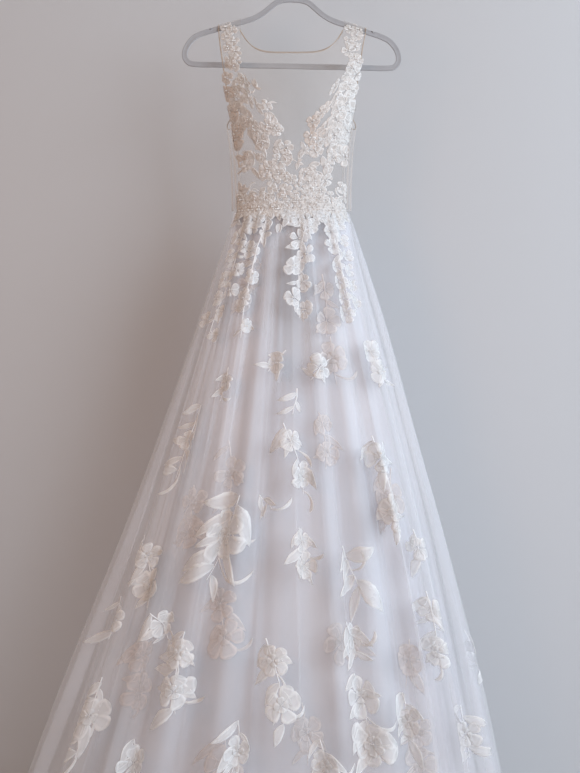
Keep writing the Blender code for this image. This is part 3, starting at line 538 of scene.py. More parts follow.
def bead_gloss(name):
    """Clear crystal and pearl beads, by a tone at each."""
    finish = Finish(name, Roughness=0.12, Coat_Weight=0.6, Coat_Roughness=0.05)
    tone = finish.attribute("tone")
    finish.paint(Base_Color=finish.mix(tone, (0.98, 0.98, 1.0), (0.90, 0.86, 0.82)))
    return finish.material


def flocking(name):
    """Short grey fibre: a fine mottle and a soft sheen."""
    finish = Finish(name, Roughness=0.95, Sheen_Weight=0.5, Sheen_Roughness=0.6)
    place = finish.node("ShaderNodeTexCoord", output="Object")
    fibre = finish.noise(place, 2600.0, 3.0)
    worn = finish.noise(place, 60.0, 2.0)
    share = (0.35 * fibre + 0.65 * worn).clamp()
    finish.paint(Base_Color=finish.mix(share, (0.33, 0.33, 0.35), (0.44, 0.44, 0.46)))
    finish.bump(fibre, 0.0004, 0.7)
    return finish.material


def polished(name):
    """Plated wire with faint drawing lines."""
    finish = Finish(name, Metallic=1.0)
    place = finish.node("ShaderNodeTexCoord", output="Object")
    lines = finish.noise(place, 900.0, 2.0)
    finish.paint(Base_Color=finish.mix(lines, (0.60, 0.60, 0.63), (0.70, 0.70, 0.72)))
    finish.paint(Roughness=(0.18 + 0.14 * lines).clamp())
    return finish.material


class Cloth:
    """A grid of points, with rows that go up the cloth and columns that go to the viewer's right.

    A place on it is a column and a row, which may lie between grid lines or a little past its edges. Where
    the cloth turns away from the front, seen is the share by which what is laid on it is stretched to look as
    wide as elsewhere. Below its lowest row, flare is how far it leads outwards for each metre down.
    """

    def __init__(self, points, seen=0.0, flare=0.0):
        self.points = points
        self.flare = flare
        self.normals = facing_of(points)
        steps = np.diff(points, axis=1)
        steps = (1 - seen) * np.linalg.norm(steps, axis=-1) + seen * np.abs(steps[..., 0])
        self.reach = np.concatenate([np.zeros((len(points), 1)), np.cumsum(steps, axis=1)], axis=1)
        self.rise = np.linalg.norm(np.gradient(points, axis=0), axis=-1)

    def read(self, grid, column, row):
        """The grid's values at places: a weighted mean of four corners."""
        rows, columns = grid.shape[:2]
        c = np.clip(np.floor(column).astype(int), 0, columns - 2)
        r = np.clip(np.floor(row).astype(int), 0, rows - 2)
        right = (column - c)[..., None]
        up = (row - r)[..., None]
        low = grid[r, c] * (1 - right) + grid[r, c + 1] * right
        high = grid[r + 1, c] * (1 - right) + grid[r + 1, c + 1] * right
        return low * (1 - up) + high * up

    def find(self, x, z):
        """The column and row of the place that is seen at x and z from the front, or from behind."""
        gap = (self.points[..., 0] - x) ** 2 + (self.points[..., 2] - z) ** 2
        row, column = np.unravel_index(np.argmin(gap), gap.shape)
        return column, row

    def lay(self, place, right, up, out):
        """Points that lie so far along and up the cloth from a place, and stand so far out from it."""
        column, row = place
        reach = self.reach[row]
        wanted = reach[column] + right
        inside = np.clip(wanted, reach[0], reach[-1])
        columns = np.interp(inside, reach, np.arange(len(reach)))
        columns = columns + np.clip(wanted - inside, -0.008, 0.008) / (reach[-1] / (len(reach) - 1))
        rows = row + up / self.rise[row, column]
        spot = self.read(self.points, columns, rows)
        below = self.flare * np.maximum(-rows, 0) * self.rise[row, column]
        return spot + (np.asarray(out) + below)[..., None] * unit(self.read(self.normals, columns, rows))


# Each petal's grid: along it from its root to its tip, and across it from edge to edge
ALONG = np.array([0.02, 0.16, 0.36, 0.58, 0.78, 0.92, 1.0])[:, None]
ACROSS = np.array([-1.0, -0.72, 0.0, 0.72, 1.0])[None, :]
FINE_ALONG = np.array([0.02, 0.12, 0.28, 0.45, 0.62, 0.76, 0.88, 0.96, 1.0])[:, None]
FINE_ACROSS = np.array([-1.0, -0.82, -0.45, 0.0, 0.45, 0.82, 1.0])[None, :]
LARGE = 0.014
THREADS = 34.0


class Lace:
    """Petals, leaves and stems sewn on one cloth, which become one piece."""

    def __init__(self, cloth, lift=0.0012, relief=0.0006):
        self.cloth = cloth
        self.lift = lift
        self.relief = relief
        self.centres = []
        self.points, self.faces, self.uvs, self.rims, self.tones = [], [], [], [], []
        self.count = 0

    def patch(self, points, uv, rim, tone):
        """Adds one grid of points."""
        rows, columns = points.shape[:2]
        self.points.append(points.reshape(-1, 3))
        self.faces.append(grid_faces(rows, columns, self.count))
        self.uvs.append(uv.reshape(-1, 2))
        self.rims.append(np.broadcast_to(rim, (rows, columns)).ravel())
        self.tones.append(np.full(rows * columns, tone))
        self.count += rows * columns

    def petal(self, place, heading, start, length, half, bend, cup, tone, power, blunt, notch):
        """A petal or leaf from a place on the cloth.

        Its half width is a sine of its length to a power, blunted by another power, and its middle line bends
        to one side as the square of the length. Its edge is a raised cord and its middle is hollow; cup lifts
        its tip and notch draws the middle of its tip back.
        """
        along, across = (FINE_ALONG, FINE_ACROSS) if length > LARGE else (ALONG, ACROSS)
        width = half * np.sin(np.pi * along**power).clip(0) ** blunt
        ripple = 1 + 0.07 * np.sin(9 * along + 40 * tone) * np.sign(across) * (length > LARGE)
        forward = start + length * (along - notch * along**5 * (1 - across**2))
        sideways = width * ripple * across + bend * length * along**2
        right = forward * math.cos(heading) - sideways * math.sin(heading)
        up = forward * math.sin(heading) + sideways * math.cos(heading)
        edge = np.maximum(np.abs(across), np.clip((along - 0.7) / 0.25, 0, 1))
        cord = np.exp(-(((edge - 0.80) / 0.15) ** 2))
        vein = 0.45 * np.exp(-((across / 0.22) ** 2)) * (along < 0.8)
        out = self.lift + self.relief * (cord + vein) + cup * along**2 * (0.4 + 0.6 * across**2)
        out = out - self.lift * 0.6 * (np.abs(across) > 0.99)
        points = self.cloth.lay(place, right, up, out)
        uv = together(along * length * 60, across * half * THREADS * 10)
        self.patch(points, uv, np.clip(cord + 0.2 * vein, 0, 1), tone)

    def blossom(self, place, radius, turn, petals, tone, cup=0.0012, inner=False):
        """Separate petals in a ring, uneven in length, width and spacing, and at times small ones on top."""
        self.centres.append((place, radius))
        rings = ((1.0, 0.10, 0.0, petals),) + (((0.42, 0.04, 0.0006, petals - 1),) if inner else ())
        for size, start, above, number in rings:
            for i in range(number):
                heading = turn + (i + chance.uniform(-0.16, 0.16) + (0.5 if above else 0)) * math.tau / number
                length = radius * size * chance.uniform(0.72, 1.16)
                half = radius * size * math.sin(math.pi / number) * chance.uniform(0.66, 0.90)
                self.lift += above
                self.petal(
                    place, heading, radius * start, length, half, chance.uniform(-0.14, 0.14),
                    cup, tone, 1.75, 0.5, chance.uniform(0.02, 0.20),
                )
                self.lift -= above

    def leaf(self, place, heading, length, tone, slim=0.16, cup=0.0008):
        """A pointed leaf that curls to one side."""
        bend = chance.uniform(0.10, 0.34) * chance.choice((-1, 1))
        self.petal(place, heading, 0, length, length * slim, bend, cup, tone, 0.85, 0.9, 0.0)

    def hanging_leaves(self, place, turns, shortest, longest, tannest, cup):
        """Leaves that hang from a place, one for each turn away from straight down."""
        for turn in turns:
            heading = -math.pi / 2 + turn + chance.uniform(-0.3, 0.3)
            length = chance.uniform(shortest, longest)
            self.leaf(place, heading, length, chance.uniform(0, tannest), 0.24, cup)

    def ribbon(self, place, heading, length, curl, width, tone):
        """A slender curved band: its heading turns steadily by curl, and it swells towards its far end."""
        share = np.linspace(0, 1, 16)
        angle = heading + curl * share**1.4
        right = np.concatenate([[0], np.cumsum(np.cos(angle[1:]))]) * length / 15
        up = np.concatenate([[0], np.cumsum(np.sin(angle[1:]))]) * length / 15
        swell = 0.30 + 0.70 * np.sin(math.pi * share**2.2) ** 0.8
        half = width / 2 * swell * np.clip((1.02 - share) * 8, 0, 1) ** 0.5
        across = np.array([-1.0, -0.6, 0.0, 0.6, 1.0])[None, :]
        right = right[:, None] - (half * np.sin(angle))[:, None] * across
        up = up[:, None] + (half * np.cos(angle))[:, None] * across
        out = self.lift * (0.3 + 0.7 * (1 - across**4)) + 0 * right
        uv = together(share[:, None] * length * 60, across * 2)
        self.patch(self.cloth.lay(place, right, up, out), uv, 0.75, tone)

    def stem(self, columns, rows, width, tone):
        """A raised cord along places: a half round of five points carried along them."""
        line = self.cloth.read(self.cloth.points, columns, rows)
        out = unit(self.cloth.read(self.cloth.normals, columns, rows))
        ahead = unit(np.gradient(line, axis=0))
        side = unit(np.cross(out, ahead))
        angle = np.linspace(0, math.pi, 5)[None, :, None]
        taper = (np.linspace(1.0, 0.45, len(line)) * width / 2)[:, None, None]
        points = line[:, None] + taper * (np.cos(angle) * side[:, None] + 1.2 * np.sin(angle) * out[:, None])
        points = points + 0.6 * self.lift * out[:, None]
        uv = np.zeros((*points.shape[:2], 2))
        uv[..., 0] = np.linspace(0, 30, len(line))[:, None]
        self.patch(points, uv, 0.8, tone)

    def vine(self, x, z, end_x, end_z, bow, flowers, radius, leaves, leaf_length, tone=None, crowd=0.0):
        """A bowed stem seen from start to finish, with blossoms along it and curled leaves to both sides.

        Its lengths are in millimetres. A crowd moves the blossoms to both sides of the stem, by up to so many
        of their radii.
        """
        start, finish = np.array([x, z]) / MILLIMETRES, np.array([end_x, end_z]) / MILLIMETRES
        radius, leaf_length = radius / MILLIMETRES, leaf_length / MILLIMETRES
        run = finish - start
        side = np.array([-run[1], run[0]])
        middle = (start + finish) / 2 + bow * side

        def seen(t):
            t = np.asarray(t)[..., None]
            return (1 - t) ** 2 * start + 2 * t * (1 - t) * middle + t**2 * finish

        def tint():
            return chance.uniform(0, 1) if tone is None else np.clip(tone + chance.uniform(-0.2, 0.2), 0, 1)

        places = np.array([self.cloth.find(*spot) for spot in seen(np.linspace(0, 1, 5))], float)
        fine = np.linspace(0, 4, 25)
        columns = np.interp(fine, np.arange(5), places[:, 0])
        rows = np.interp(fine, np.arange(5), places[:, 1])
        self.stem(columns, rows, 0.0026, tint())
        for i in range(leaves):
            share = (i + 0.3) / leaves
            ahead = seen(min(share + 0.02, 1.0)) - seen(max(share - 0.02, 0.0))
            aside = 0.75 if i % 2 else -0.85
            heading = math.atan2(ahead[1], ahead[0]) + aside + chance.uniform(-0.35, 0.35)
            size = leaf_length * chance.uniform(0.6, 1.2)
            if i % 4 == 3:
                curl = chance.uniform(1.2, 2.6) * chance.choice((-1, 1))
                self.ribbon(self.cloth.find(*seen(share)), heading, size * 1.2, curl, 0.007, tint())
            else:
                self.leaf(self.cloth.find(*seen(share)), heading, size, tint(), chance.uniform(0.12, 0.24))
        for i in range(flowers):
            size = radius * (0.82, 1.0, 0.9, 1.08)[i % 4]
            spot = seen((i + 0.5) / flowers)
            spot = spot + unit(side) * crowd * radius * (-1) ** i * chance.uniform(0.4, 1.0)
            petals = 5 if size < 0.04 else 6
            self.blossom(self.cloth.find(*spot), size, 0.7 + 1.9 * i, petals, tint(), 0.0014, size > 0.025)

    def piece(self, name, material, slot="lace"):
        """All of it as one piece."""
        gathered = (self.points, self.faces, self.uvs, self.rims, self.tones)
        points, faces, uv, rim, tone = (np.concatenate(parts) for parts in gathered)
        return add_piece(name, points, faces, material, uv, {"rim": rim, "tone": tone})


def beads(name, cloth, places, radii, lift, material):
    """Small domes: for each, rings of points at rising heights of a half ball, closed at the top."""
    sides = 6
    angle = np.linspace(0, math.tau, sides + 1)[None, :]
    rise = np.radians([0.0, 42.0, 90.0])[:, None]
    points, faces, tones = [], [], []
    for i, (place, radius) in enumerate(zip(places, radii)):
        right = radius * np.cos(rise) * np.cos(angle)
        up = radius * np.cos(rise) * np.sin(angle)
        out = lift + radius * 0.9 * np.sin(rise) + 0 * angle
        points.append(cloth.lay(place, right, up, out).reshape(-1, 3))
        faces.append(grid_faces(3, sides + 1, i * 3 * (sides + 1)))
        tones.append(np.full(3 * (sides + 1), chance.uniform(0, 1)))
    points, faces, tone = (np.concatenate(parts) for parts in (points, faces, tones))
    add_piece(name, points, faces, material, None, {"tone": tone})


# How many beads are sewn near each flower's centre, the radius of the smallest, and that of a large flower
BEADS_EACH = 5
SMALLEST_BEAD = 0.0009
LARGE_FLOWER = 0.024


def strewn(cloth, centres, small_spread, large_spread, largest):
    """Places and radii of beads near the centres of flowers, spread more widely on the large ones."""
    places, radii = [], []
    for place, radius in centres:
        spread = small_spread if radius < LARGE_FLOWER else large_spread
        for i in range(BEADS_EACH):
            x_and_z = cloth.points[place[1], place[0], [0, 2]] + chance.normal(0, spread, 2)
            places.append(cloth.find(*x_and_z))
            radii.append(chance.uniform(SMALLEST_BEAD, largest))
    return places, radii


def tube(name, path, radius, material):
    """A sewn edge of the net: a circle carried along a path of points."""
    sides = 8
    ahead = unit(np.gradient(path, axis=0))
    side = unit(np.cross(ahead, np.array([0.13, 0.21, 0.97])))
    other = np.cross(side, ahead)
    angle = np.linspace(0, math.tau, sides + 1)[None, :, None]
    points = path[:, None] + radius * (np.cos(angle) * side[:, None] + np.sin(angle) * other[:, None])
    uv = together(length_along(path)[:, None], np.linspace(0, 1, sides + 1)[None, :])
    add_piece(name, points, grid_faces(len(path), sides + 1), material, uv, None)


def fold_wave(folds, around):
    """How far up its fold each angle lies: a cosine between each pair of crests, scaled to their heights."""
    crest, height = folds["around"].astype(float), folds["height"]
    i = np.clip(np.searchsorted(crest, around, side="right") - 1, 0, len(crest) - 2)
    t = (around - crest[i]) / (crest[i + 1] - crest[i])
    size = height[i] * (1 - t) + height[i + 1] * t
    return 0.5 + 0.5 * size * 1.12 * np.cos(math.tau * (t - 0.125))


def crease_field(creases, around, height):
    """The sum of bell-shaped ridges, each along a line that drifts between two angles as it goes down."""
    out = np.zeros(np.broadcast(around, height).shape)
    line = np.zeros_like(out)
    for start, finish, top, bottom, wide, rise in zip(*(creases[k] for k in creases)):
        down = (top - height) / (top - bottom)
        middle = start + (finish - start) * np.clip(down, 0, 1)
        ends = np.clip(down * 6 + 0.4, 0, 1) * np.clip((1.02 - down) * 5, 0, 1)
        bell = np.exp(-(((around - middle) / wide) ** 2)) * ends
        out += rise * 0.001 * bell * (0.35 + 0.65 * np.clip(down, 0, 1))
        line += (rise > 0) * np.exp(-(((around - middle) / (0.28 * wide)) ** 2)) * ends
    return out, np.clip(line, 0, 1)


def skirt_layer(rows, folds, creases, columns, count, gathers, depth):
    """A layer of the skirt as two cloths, front and back, with the values that its finish reads.

    Each point is the rounded section moved outwards by the large folds, the creases and, near the waist, fine
    gathers: two sines of uneven pitch that fade down the skirt. Depth scales the large folds.
    """
    lowest, highest = rows["height"][-1], rows["height"][0]
    share = np.linspace(0, 1, count)[:, None] ** 0.85
    heights = lowest + (highest - lowest) * share
    parts = []
    for first, last, number in ((-90.0, 90.0, columns[0]), (90.0, 270.0, columns[1])):
        around = np.linspace(first, last, number)[None, :]
        left, right, front, back, fold = (smooth(rows, k, heights) for k in rows if k != "height")
        x, y = ring(around + 0 * heights, left, right, front, back)
        plain = together(x, y, heights)
        outward = facing_of(plain)
        level = unit(outward * (1, 1, 0))
        drift = 1 + FOLD_DRIFT * np.sin(heights * DRIFT_UP + np.radians(around) * DRIFT_ROUND)
        out = fold * depth * drift * (fold_wave(folds, around) - 0.5)
        ridge, line = crease_field(creases, around, heights)
        fade = np.exp((heights - highest) / GATHER_FADE)
        fine = np.sin(around * 1.32 + 3.1 * np.sin(around * 0.17))
        fine = fine + 0.7 * np.sin(around * 2.27 + 2.0 * np.sin(around * 0.31))
        fine = fine * (0.6 + 0.4 * np.sin(around * 0.11 + 1))
        seam = np.clip(np.minimum(around - first, last - around) / 3, 0, 1)
        slack = np.clip((highest - heights) / 0.02, 0, 1)
        out = out + (ridge + gathers * fine * (fade + 0.04)) * seam * slack
        points = plain + level * out[..., None]
        points[:, 0] += unit(points[:, 1] - points[:, 0]) * SEAM_GAP
        points[:, -1] += unit(points[:, -2] - points[:, -1]) * SEAM_GAP
        cloth = Cloth(points)
        facing = np.abs((cloth.normals * outward).sum(axis=-1))
        flank = np.clip(1 / np.clip(facing, 0.2, 1) - 1, 0, 2.5)
        uv = together(around / 90, heights)
        parts.append((cloth, uv, {"flank": flank, "crease": line}))
    return parts


def tilted(x, y, z):
    """A point of the hanger, turned with it about the middle of its bar."""
    rise = z - FRAME_PIVOT
    cosine, sine = math.cos(FRAME_TILT), math.sin(FRAME_TILT)
    return together(x * cosine + rise * sine, y, FRAME_PIVOT - x * sine + rise * cosine)


def strap_cloth(side):
    """The strap over one arm of the hanger: a half ring over the arm, with short straight ends."""
    turn = np.radians(np.linspace(-90, 90, 13))
    forward = np.concatenate([[-0.0042, -0.0042], 0.0042 * np.sin(turn), [0.0042, 0.0042]])
    height = np.concatenate([[-0.0090, -0.0055], -0.0019 + 0.0040 * np.cos(turn), [-0.0055, -0.0090]])
    across = np.linspace(STRAP_INNER, STRAP_OUTER, 15) * side
    arm = ARM_TOP - ARM_FALL * (np.abs(across) - ARM_X)
    points = tilted(across[None, :], forward[:, None], arm[None, :] + height[:, None])
    return Cloth(points[:, ::-1] if side < 0 else points)


def bodice_cloth(middle, neck_height, strap_end, count=70):
    """The front or back panel: rows rise from the waist to a neckline that falls as the fourth power."""
    turn = np.linspace(-FRONT_SEAM, FRONT_SEAM, PANEL_COLUMNS)
    scoop = neck_height + (SHOULDER - neck_height) * np.minimum(np.abs(turn) / NECK_SIDE, 1) ** 4
    heights = WAIST + (scoop - WAIST) * np.linspace(0, 1, count)[:, None]
    points = bodice_point(middle + turn + 0 * heights, heights)
    for side in SIDES:
        over = np.flatnonzero(side * turn >= NECK_SIDE)
        edge = strap_cloth(side if middle == 0 else -side).points[strap_end]
        if middle != 0:
            edge = edge[::-1]
        share = np.linspace(0, 1, len(over))
        along = np.linspace(0, 1, len(edge))
        met = np.stack([np.interp(share, along, edge[:, k]) for k in range(3)], axis=-1)
        pull = np.clip((np.linspace(0, 1, count)[:, None, None] - 0.86) / 0.14, 0, 1) ** 2
        top = points[-1:, over]
        points[:, over] += pull * (met[None] - top)
    return Cloth(points, 0.7, 0.50)


def side_cloth(side, columns=31, count=44):
    """A side panel, whose top is scooped out for the armhole."""
    turn = np.linspace(FRONT_SEAM, 180 - FRONT_SEAM, columns)
    around = turn if side > 0 else 360 - turn[::-1]
    top = UNDERARM + (SEAM_TOP - UNDERARM) * np.linspace(-1, 1, columns) ** 2
    heights = WAIST + (top - WAIST) * np.linspace(0, 1, count)[:, None]
    return Cloth(bodice_point(around + 0 * heights, heights))


def cloth_piece(name, cloth, material, node, uv=None, values=None):
    """A cloth's grid as a piece, which stands for its solid."""
    if uv is None:
        uv = together(cloth.reach, cloth.points[..., 2])
    piece = add_piece(name, cloth.points, grid_faces(*cloth.points.shape[:2]), material, uv, values)
    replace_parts(piece, node)
    return piece


def hanger_outline():
    """The middle line of the hanger's frame, smoothed through its corners with a closed cubic."""
    half = np.array(
        [
            (0, -765), (180, -778), (330, -832), (460, -937), (615, -1062), (800, -1164), (1080, -1256),
            (1300, -1323), (1500, -1384), (1760, -1464), (1940, -1545), (2070, -1675), (2145, -1830),
            (2150, -1970), (2070, -2075), (1930, -2106), (1500, -2106), (0, -2106),
        ]
    ) / TENTHS
    line = np.concatenate([half, half[-2:0:-1] * (-1, 1)])
    after, before = np.roll(line, -1, axis=0), np.roll(line, 1, axis=0)
    t = np.linspace(0, 1, 8, endpoint=False)[None, :, None]
    gap = np.linalg.norm(after - line, axis=1)[:, None]
    slope = (after - before) / (np.linalg.norm(line - before, axis=1)[:, None] + gap)
    leaving, arriving = slope * gap, np.roll(slope, -1, axis=0) * gap
    return cubic(line[:, None], after[:, None], leaving[:, None], arriving[:, None], t).reshape(-1, 2)


def hanger_frame(material):
    """The flocked loop: a rounded bar section with a slightly hollow face, carried round the closed line."""
    line = hanger_outline()
    ahead = unit(np.roll(line, -1, axis=0) - np.roll(line, 1, axis=0))
    out = np.stack([-ahead[:, 1], ahead[:, 0]], axis=1)
    half, deep = MEMBER_WIDE / 2, FRAME_DEEP / 2
    section = np.array(
        [
            (1, 0.35), (0.93, 0.86), (0.76, 1), (0.55, 0.86), (0, 0.8), (-0.55, 0.86), (-0.76, 1),
            (-0.93, 0.86), (-1, 0.35),
        ]
    )
    section = np.concatenate([section, section[::-1] * (1, -1), section[:1]]) * (half, deep)
    x = line[:, None, 0] + out[:, None, 0] * section[None, :, 0]
    z = line[:, None, 1] + out[:, None, 1] * section[None, :, 0]
    notch = np.exp(-(((np.abs(x) - 0.163) / 0.0035) ** 4)) * (section[None, :, 0] > 0.9 * half) * (z > -0.165)
    z = z - 0.004 * notch
    points = tilted(x, -section[None, :, 1], z)
    points = np.concatenate([points, points[:1]])
    piece = add_piece("flocked_frame", points, grid_faces(*points.shape[:2]), material, None, None)
    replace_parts(piece, "hanger_frame")


def v_edge(name, height):
    """One column of the table of lace edges at a height."""
    return np.interp(-height, -V_EDGE["height"], V_EDGE[name])


# How far apart the bodice's flowers are at each depth below the hook, and by how many of those steps they
# keep outside the V; where their rows start and end, and the heights of the chain of flowers on the strap
LACE_STEPS = ((0.20, 0.25, 0.30, 0.40, 0.46, 0.52), (0.020, 0.022, 0.025, 0.024, 0.020, 0.018))
LACE_MARGINS = ((0.33, 0.41), (0.55, 0.10))
LACE_TOP = -0.214
LACE_FOOT = -0.520
ROW_STEP = 0.74
STRAP_CHAIN = np.linspace(-0.130, -0.206, 7)


def bodice_lace(cloth, side, material):
    """Separate petals and small leaves: a chain on the strap, close along the V and at the waist."""
    lace = Lace(cloth, 0.0014, 0.0009)
    spots = []
    height = LACE_TOP
    row = 0
    while height > LACE_FOOT:
        inner = v_edge(SIDES[side], height) * side
        outer = v_edge("outer", height)
        step = np.interp(-height, *LACE_STEPS)
        inner = inner + np.interp(-height, *LACE_MARGINS) * step
        count = max(1, int(round((outer - inner) / step)))
        for i in range(count + 1):
            share = (i + (0.5 if row % 2 else 0.0)) / count
            if share > 1.05:
                continue
            x = (inner + (outer - inner) * share) + chance.uniform(-0.22, 0.22) * step
            spots.append((side * x, height + chance.uniform(-0.3, 0.3) * step, step, share))
        height -= step * ROW_STEP
        row += 1
    centres = []
    for i, height in enumerate(STRAP_CHAIN):
        inner = v_edge(SIDES[side], height) * side
        share = 0.28 if i % 2 else 0.66
        place = cloth.find(side * (inner + (v_edge("outer", height) - inner) * share), height)
        radius = chance.uniform(0.0105, 0.0135)
        lace.blossom(place, radius, chance.uniform(0, math.tau), 5, chance.uniform(0.1, 0.5), 0.0016, False)
        centres.append((place, radius))
        for turn in (1.2, 4.4):
            heading = turn + chance.uniform(-0.5, 0.5)
            lace.leaf(place, heading, chance.uniform(0.012, 0.017), 0.25, 0.26, 0.0012)
    for x, z, step, share in spots:
        place = cloth.find(x, z)
        window = -0.47 < z < -0.385 and share > 0.66
        if window and chance.uniform() < 0.7:
            continue
        tan = (share > 0.8 and z > -0.42) if side < 0 else (share < 0.6 and -0.38 < z < -0.28)
        tone = float(np.clip(chance.normal(0.20 + 0.55 * tan, 0.20), 0, 1))
        kind = chance.uniform()
        if chance.uniform() < 0.3:
            lace.leaf(place, chance.uniform(0, math.tau), step * chance.uniform(0.9, 1.2), tone, 0.26, 0.0008)
        cup = -0.42 < z < -0.25 and share > 0.25
        if kind < 0.36:
            heading = chance.uniform(0, math.tau)
            for turn in (-0.95, -0.1, 0.85):
                reach = step * chance.uniform(0.65, 1.05) * (0.7 if share < 0.2 else 1)
                lace.leaf(place, heading + turn + chance.uniform(-0.2, 0.2), reach, tone, 0.30, 0.0012)
            if kind < 0.12:
                lace.ribbon(place, heading + math.pi, step * 1.5, chance.uniform(-2.4, 2.4), 0.0040, tone)
            continue
        radius = step * chance.uniform(0.54, 0.76) * (1.25 if kind > 0.78 and cup else 1.0)
        radius *= 0.8 if share < 0.2 else 1
        lace.blossom(place, radius, chance.uniform(0, math.tau), 5, tone, 0.0014, False)
        centres.append((place, radius))
    for i, x in enumerate(np.linspace(0.008, 0.110, 11) * side):
        place = cloth.find(x, WAIST + 0.004)
        lace.hanging_leaves(place, (-0.5, 0.4), 0.014, 0.034, 0.5, 0.0010)
        if i % 2:
            place = cloth.find(x, WAIST + 0.001)
            lace.blossom(place, chance.uniform(0.012, 0.019), chance.uniform(0, math.tau), 5, 0.15, 0.0010)
            centres.append((place, 0.014))
    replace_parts(lace.piece("beaded_lace_" + SIDES[side], material), "lace_bodice_" + SIDES[side])
    return centres


def armhole_path(side, front, back, strap, under):
    """Points along one armhole: up the front's side, over the strap, down the back and under the arm."""
    edge, far = (-1, 0) if side > 0 else (0, -1)
    seam = under.points[-1, far, 2]
    rise = front.points[:, edge]
    fall = back.points[::-1, far]
    rise = rise[rise[:, 2] > seam]
    fall = fall[fall[:, 2] > seam]
    below = under.points[-1] if side < 0 else under.points[-1, ::-1]
    return np.concatenate([rise, strap.points[:, edge], fall, below, rise[:1]])


def resample(path, step):
    """The same path with points an even step apart."""
    path = path[np.concatenate([[True], np.linalg.norm(np.diff(path, axis=0), axis=1) > 1e-5])]
    length = length_along(path)
    even = np.linspace(0, length[-1], int(length[-1] / step))
    return np.stack([np.interp(even, length, path[:, k]) for k in range(3)], axis=-1)


def light(name, place, aim, size, power, tint):
    """A soft square light that faces a point."""
    data = bpy.data.lights.new(name, "AREA")
    data.size = size
    data.energy = power
    data.color = tint
    lamp = in_scene(name, data)
    lamp.location = place
    direction = np.array(aim) - np.array(place)
    lamp.rotation_euler = Vector(direction).to_track_quat("-Z", "Y").to_euler()


def stage_plane(name, corners, material):
    mesh = bpy.data.meshes.new(name)
    mesh.from_pydata(corners, [], [(0, 1, 2, 3)])
    mesh.materials.append(material)
    in_scene(name, mesh)


# Each light's place, the point that it faces, its size in metres, its power in watts and its tint
LIGHTS = (
    ("window", (2.4, -1.9, 0.3), (0, 0, -0.6), 2.6, 102, (0.78, 0.89, 1.0)),
    ("lamp", (-2.0, -2.2, 0.4), (0, 0, -0.6), 1.6, 4, (1.0, 0.72, 0.52)),
    ("glow", (-0.80, -1.45, -0.50), (-0.38, 0.2, -0.62), 0.5, 3.4, (1.0, 0.50, 0.26)),
    ("room_behind", (-1.4, 3.0, 0.5), (0, 0.1, -0.8), 2.0, 46, (0.96, 0.97, 1.0)),
)
WALL = 0.2
WALL_HALF = 5
WALL_TOP = 3
FLOOR = -1.7
FLOOR_HALF = 9


def studio():
    """A pale wall close behind the dress and a pale floor, seen from their fronts only, and soft light.

    The window's light is cool and comes from the right; what fills the shade is weak and warm.
    """
    pale = Finish("pale_wall", Roughness=0.9, Base_Color=(0.57, 0.57, 0.585, 1.0))
    turned_away = pale.node("ShaderNodeNewGeometry", output="Backfacing")
    shadow = pale.node("ShaderNodeLightPath", output="Is Shadow Ray")
    pale.paint(Alpha=1 - turned_away.math("MAXIMUM", shadow))
    ground = Finish("pale_floor", Roughness=0.9, Base_Color=(0.58, 0.58, 0.59, 1.0))
    corners = ((-1, -1), (1, -1), (1, 1), (-1, 1))
    wall = [(WALL_HALF * x, WALL, WALL_TOP if up > 0 else FLOOR) for x, up in corners]
    stage_plane("backdrop", wall, pale.material)
    stage_plane("floor", [(FLOOR_HALF * x, FLOOR_HALF * y, FLOOR) for x, y in corners], ground.material)
    for row in LIGHTS:
        light(*row)
    world = bpy.data.worlds.new("room")
    world.use_nodes = True
    background = world.node_tree.nodes["Background"].inputs
    background["Color"].default_value = (0.66, 0.565, 0.495, 1)
    background["Strength"].default_value = 0.50
    bpy.context.scene.world = world
    data = bpy.data.cameras.new("camera")
    data.lens = CAMERA_LENS
    camera = in_scene("camera", data)
    camera.location = CAMERA_PLACE
    camera.rotation_euler = (math.pi / 2, 0, 0)
    bpy.context.scene.camera = camera
    bpy.context.scene.view_settings.view_transform = "Standard"
    bpy.context.scene.cycles.transparent_max_bounces = 32


studio()

# Finishes
outer_tulle = sheer("outer_tulle", 0.18, 0.07, (0.88, 0.92, 1.0), (0.92, 0.89, 0.90), 0.08, (22.0, 0.9))
inner_tulle = sheer("inner_tulle", 0.34, 0.06, (0.84, 0.88, 0.96), (0.88, 0.84, 0.85), 0.06, (16.0, 0.8))
lining_satin = satin("lining_satin")
# For each lace, the last number is how much shade is painted into the middles of its petals
lace_white = embroidery("lace_white", (0.98, 0.98, 0.98), (0.90, 0.79, 0.72), 0.76, 1.0, 0.30, 0.62)
lace_skirt = embroidery("lace_skirt", (0.97, 0.98, 1.0), (0.96, 0.93, 0.92), 0.66, 1.0, 0.26, 0.14)
lace_under = embroidery("lace_under", (0.94, 0.89, 0.88), (0.90, 0.80, 0.76), 0.54, 0.92, 0.5, 0.16)
nude_net = netting("nude_net", (0.74, 0.68, 0.63), 0.13)
channel_net = netting("channel_net", (0.82, 0.76, 0.72), 0.34)
nude_edge = thread_edge("nude_edge", (0.62, 0.50, 0.40))
white_edge = thread_edge("white_edge", (0.80, 0.77, 0.76))
gloss = bead_gloss("crystal_beads")
flock = flocking("flock_fibre")
steel = polished("plated_steel")

# The hanger
hanger_frame(flock)
for node in ("hanger_collar", "hanger_hook"):
    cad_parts[node].data.materials.clear()
    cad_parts[node].data.materials.append(steel)

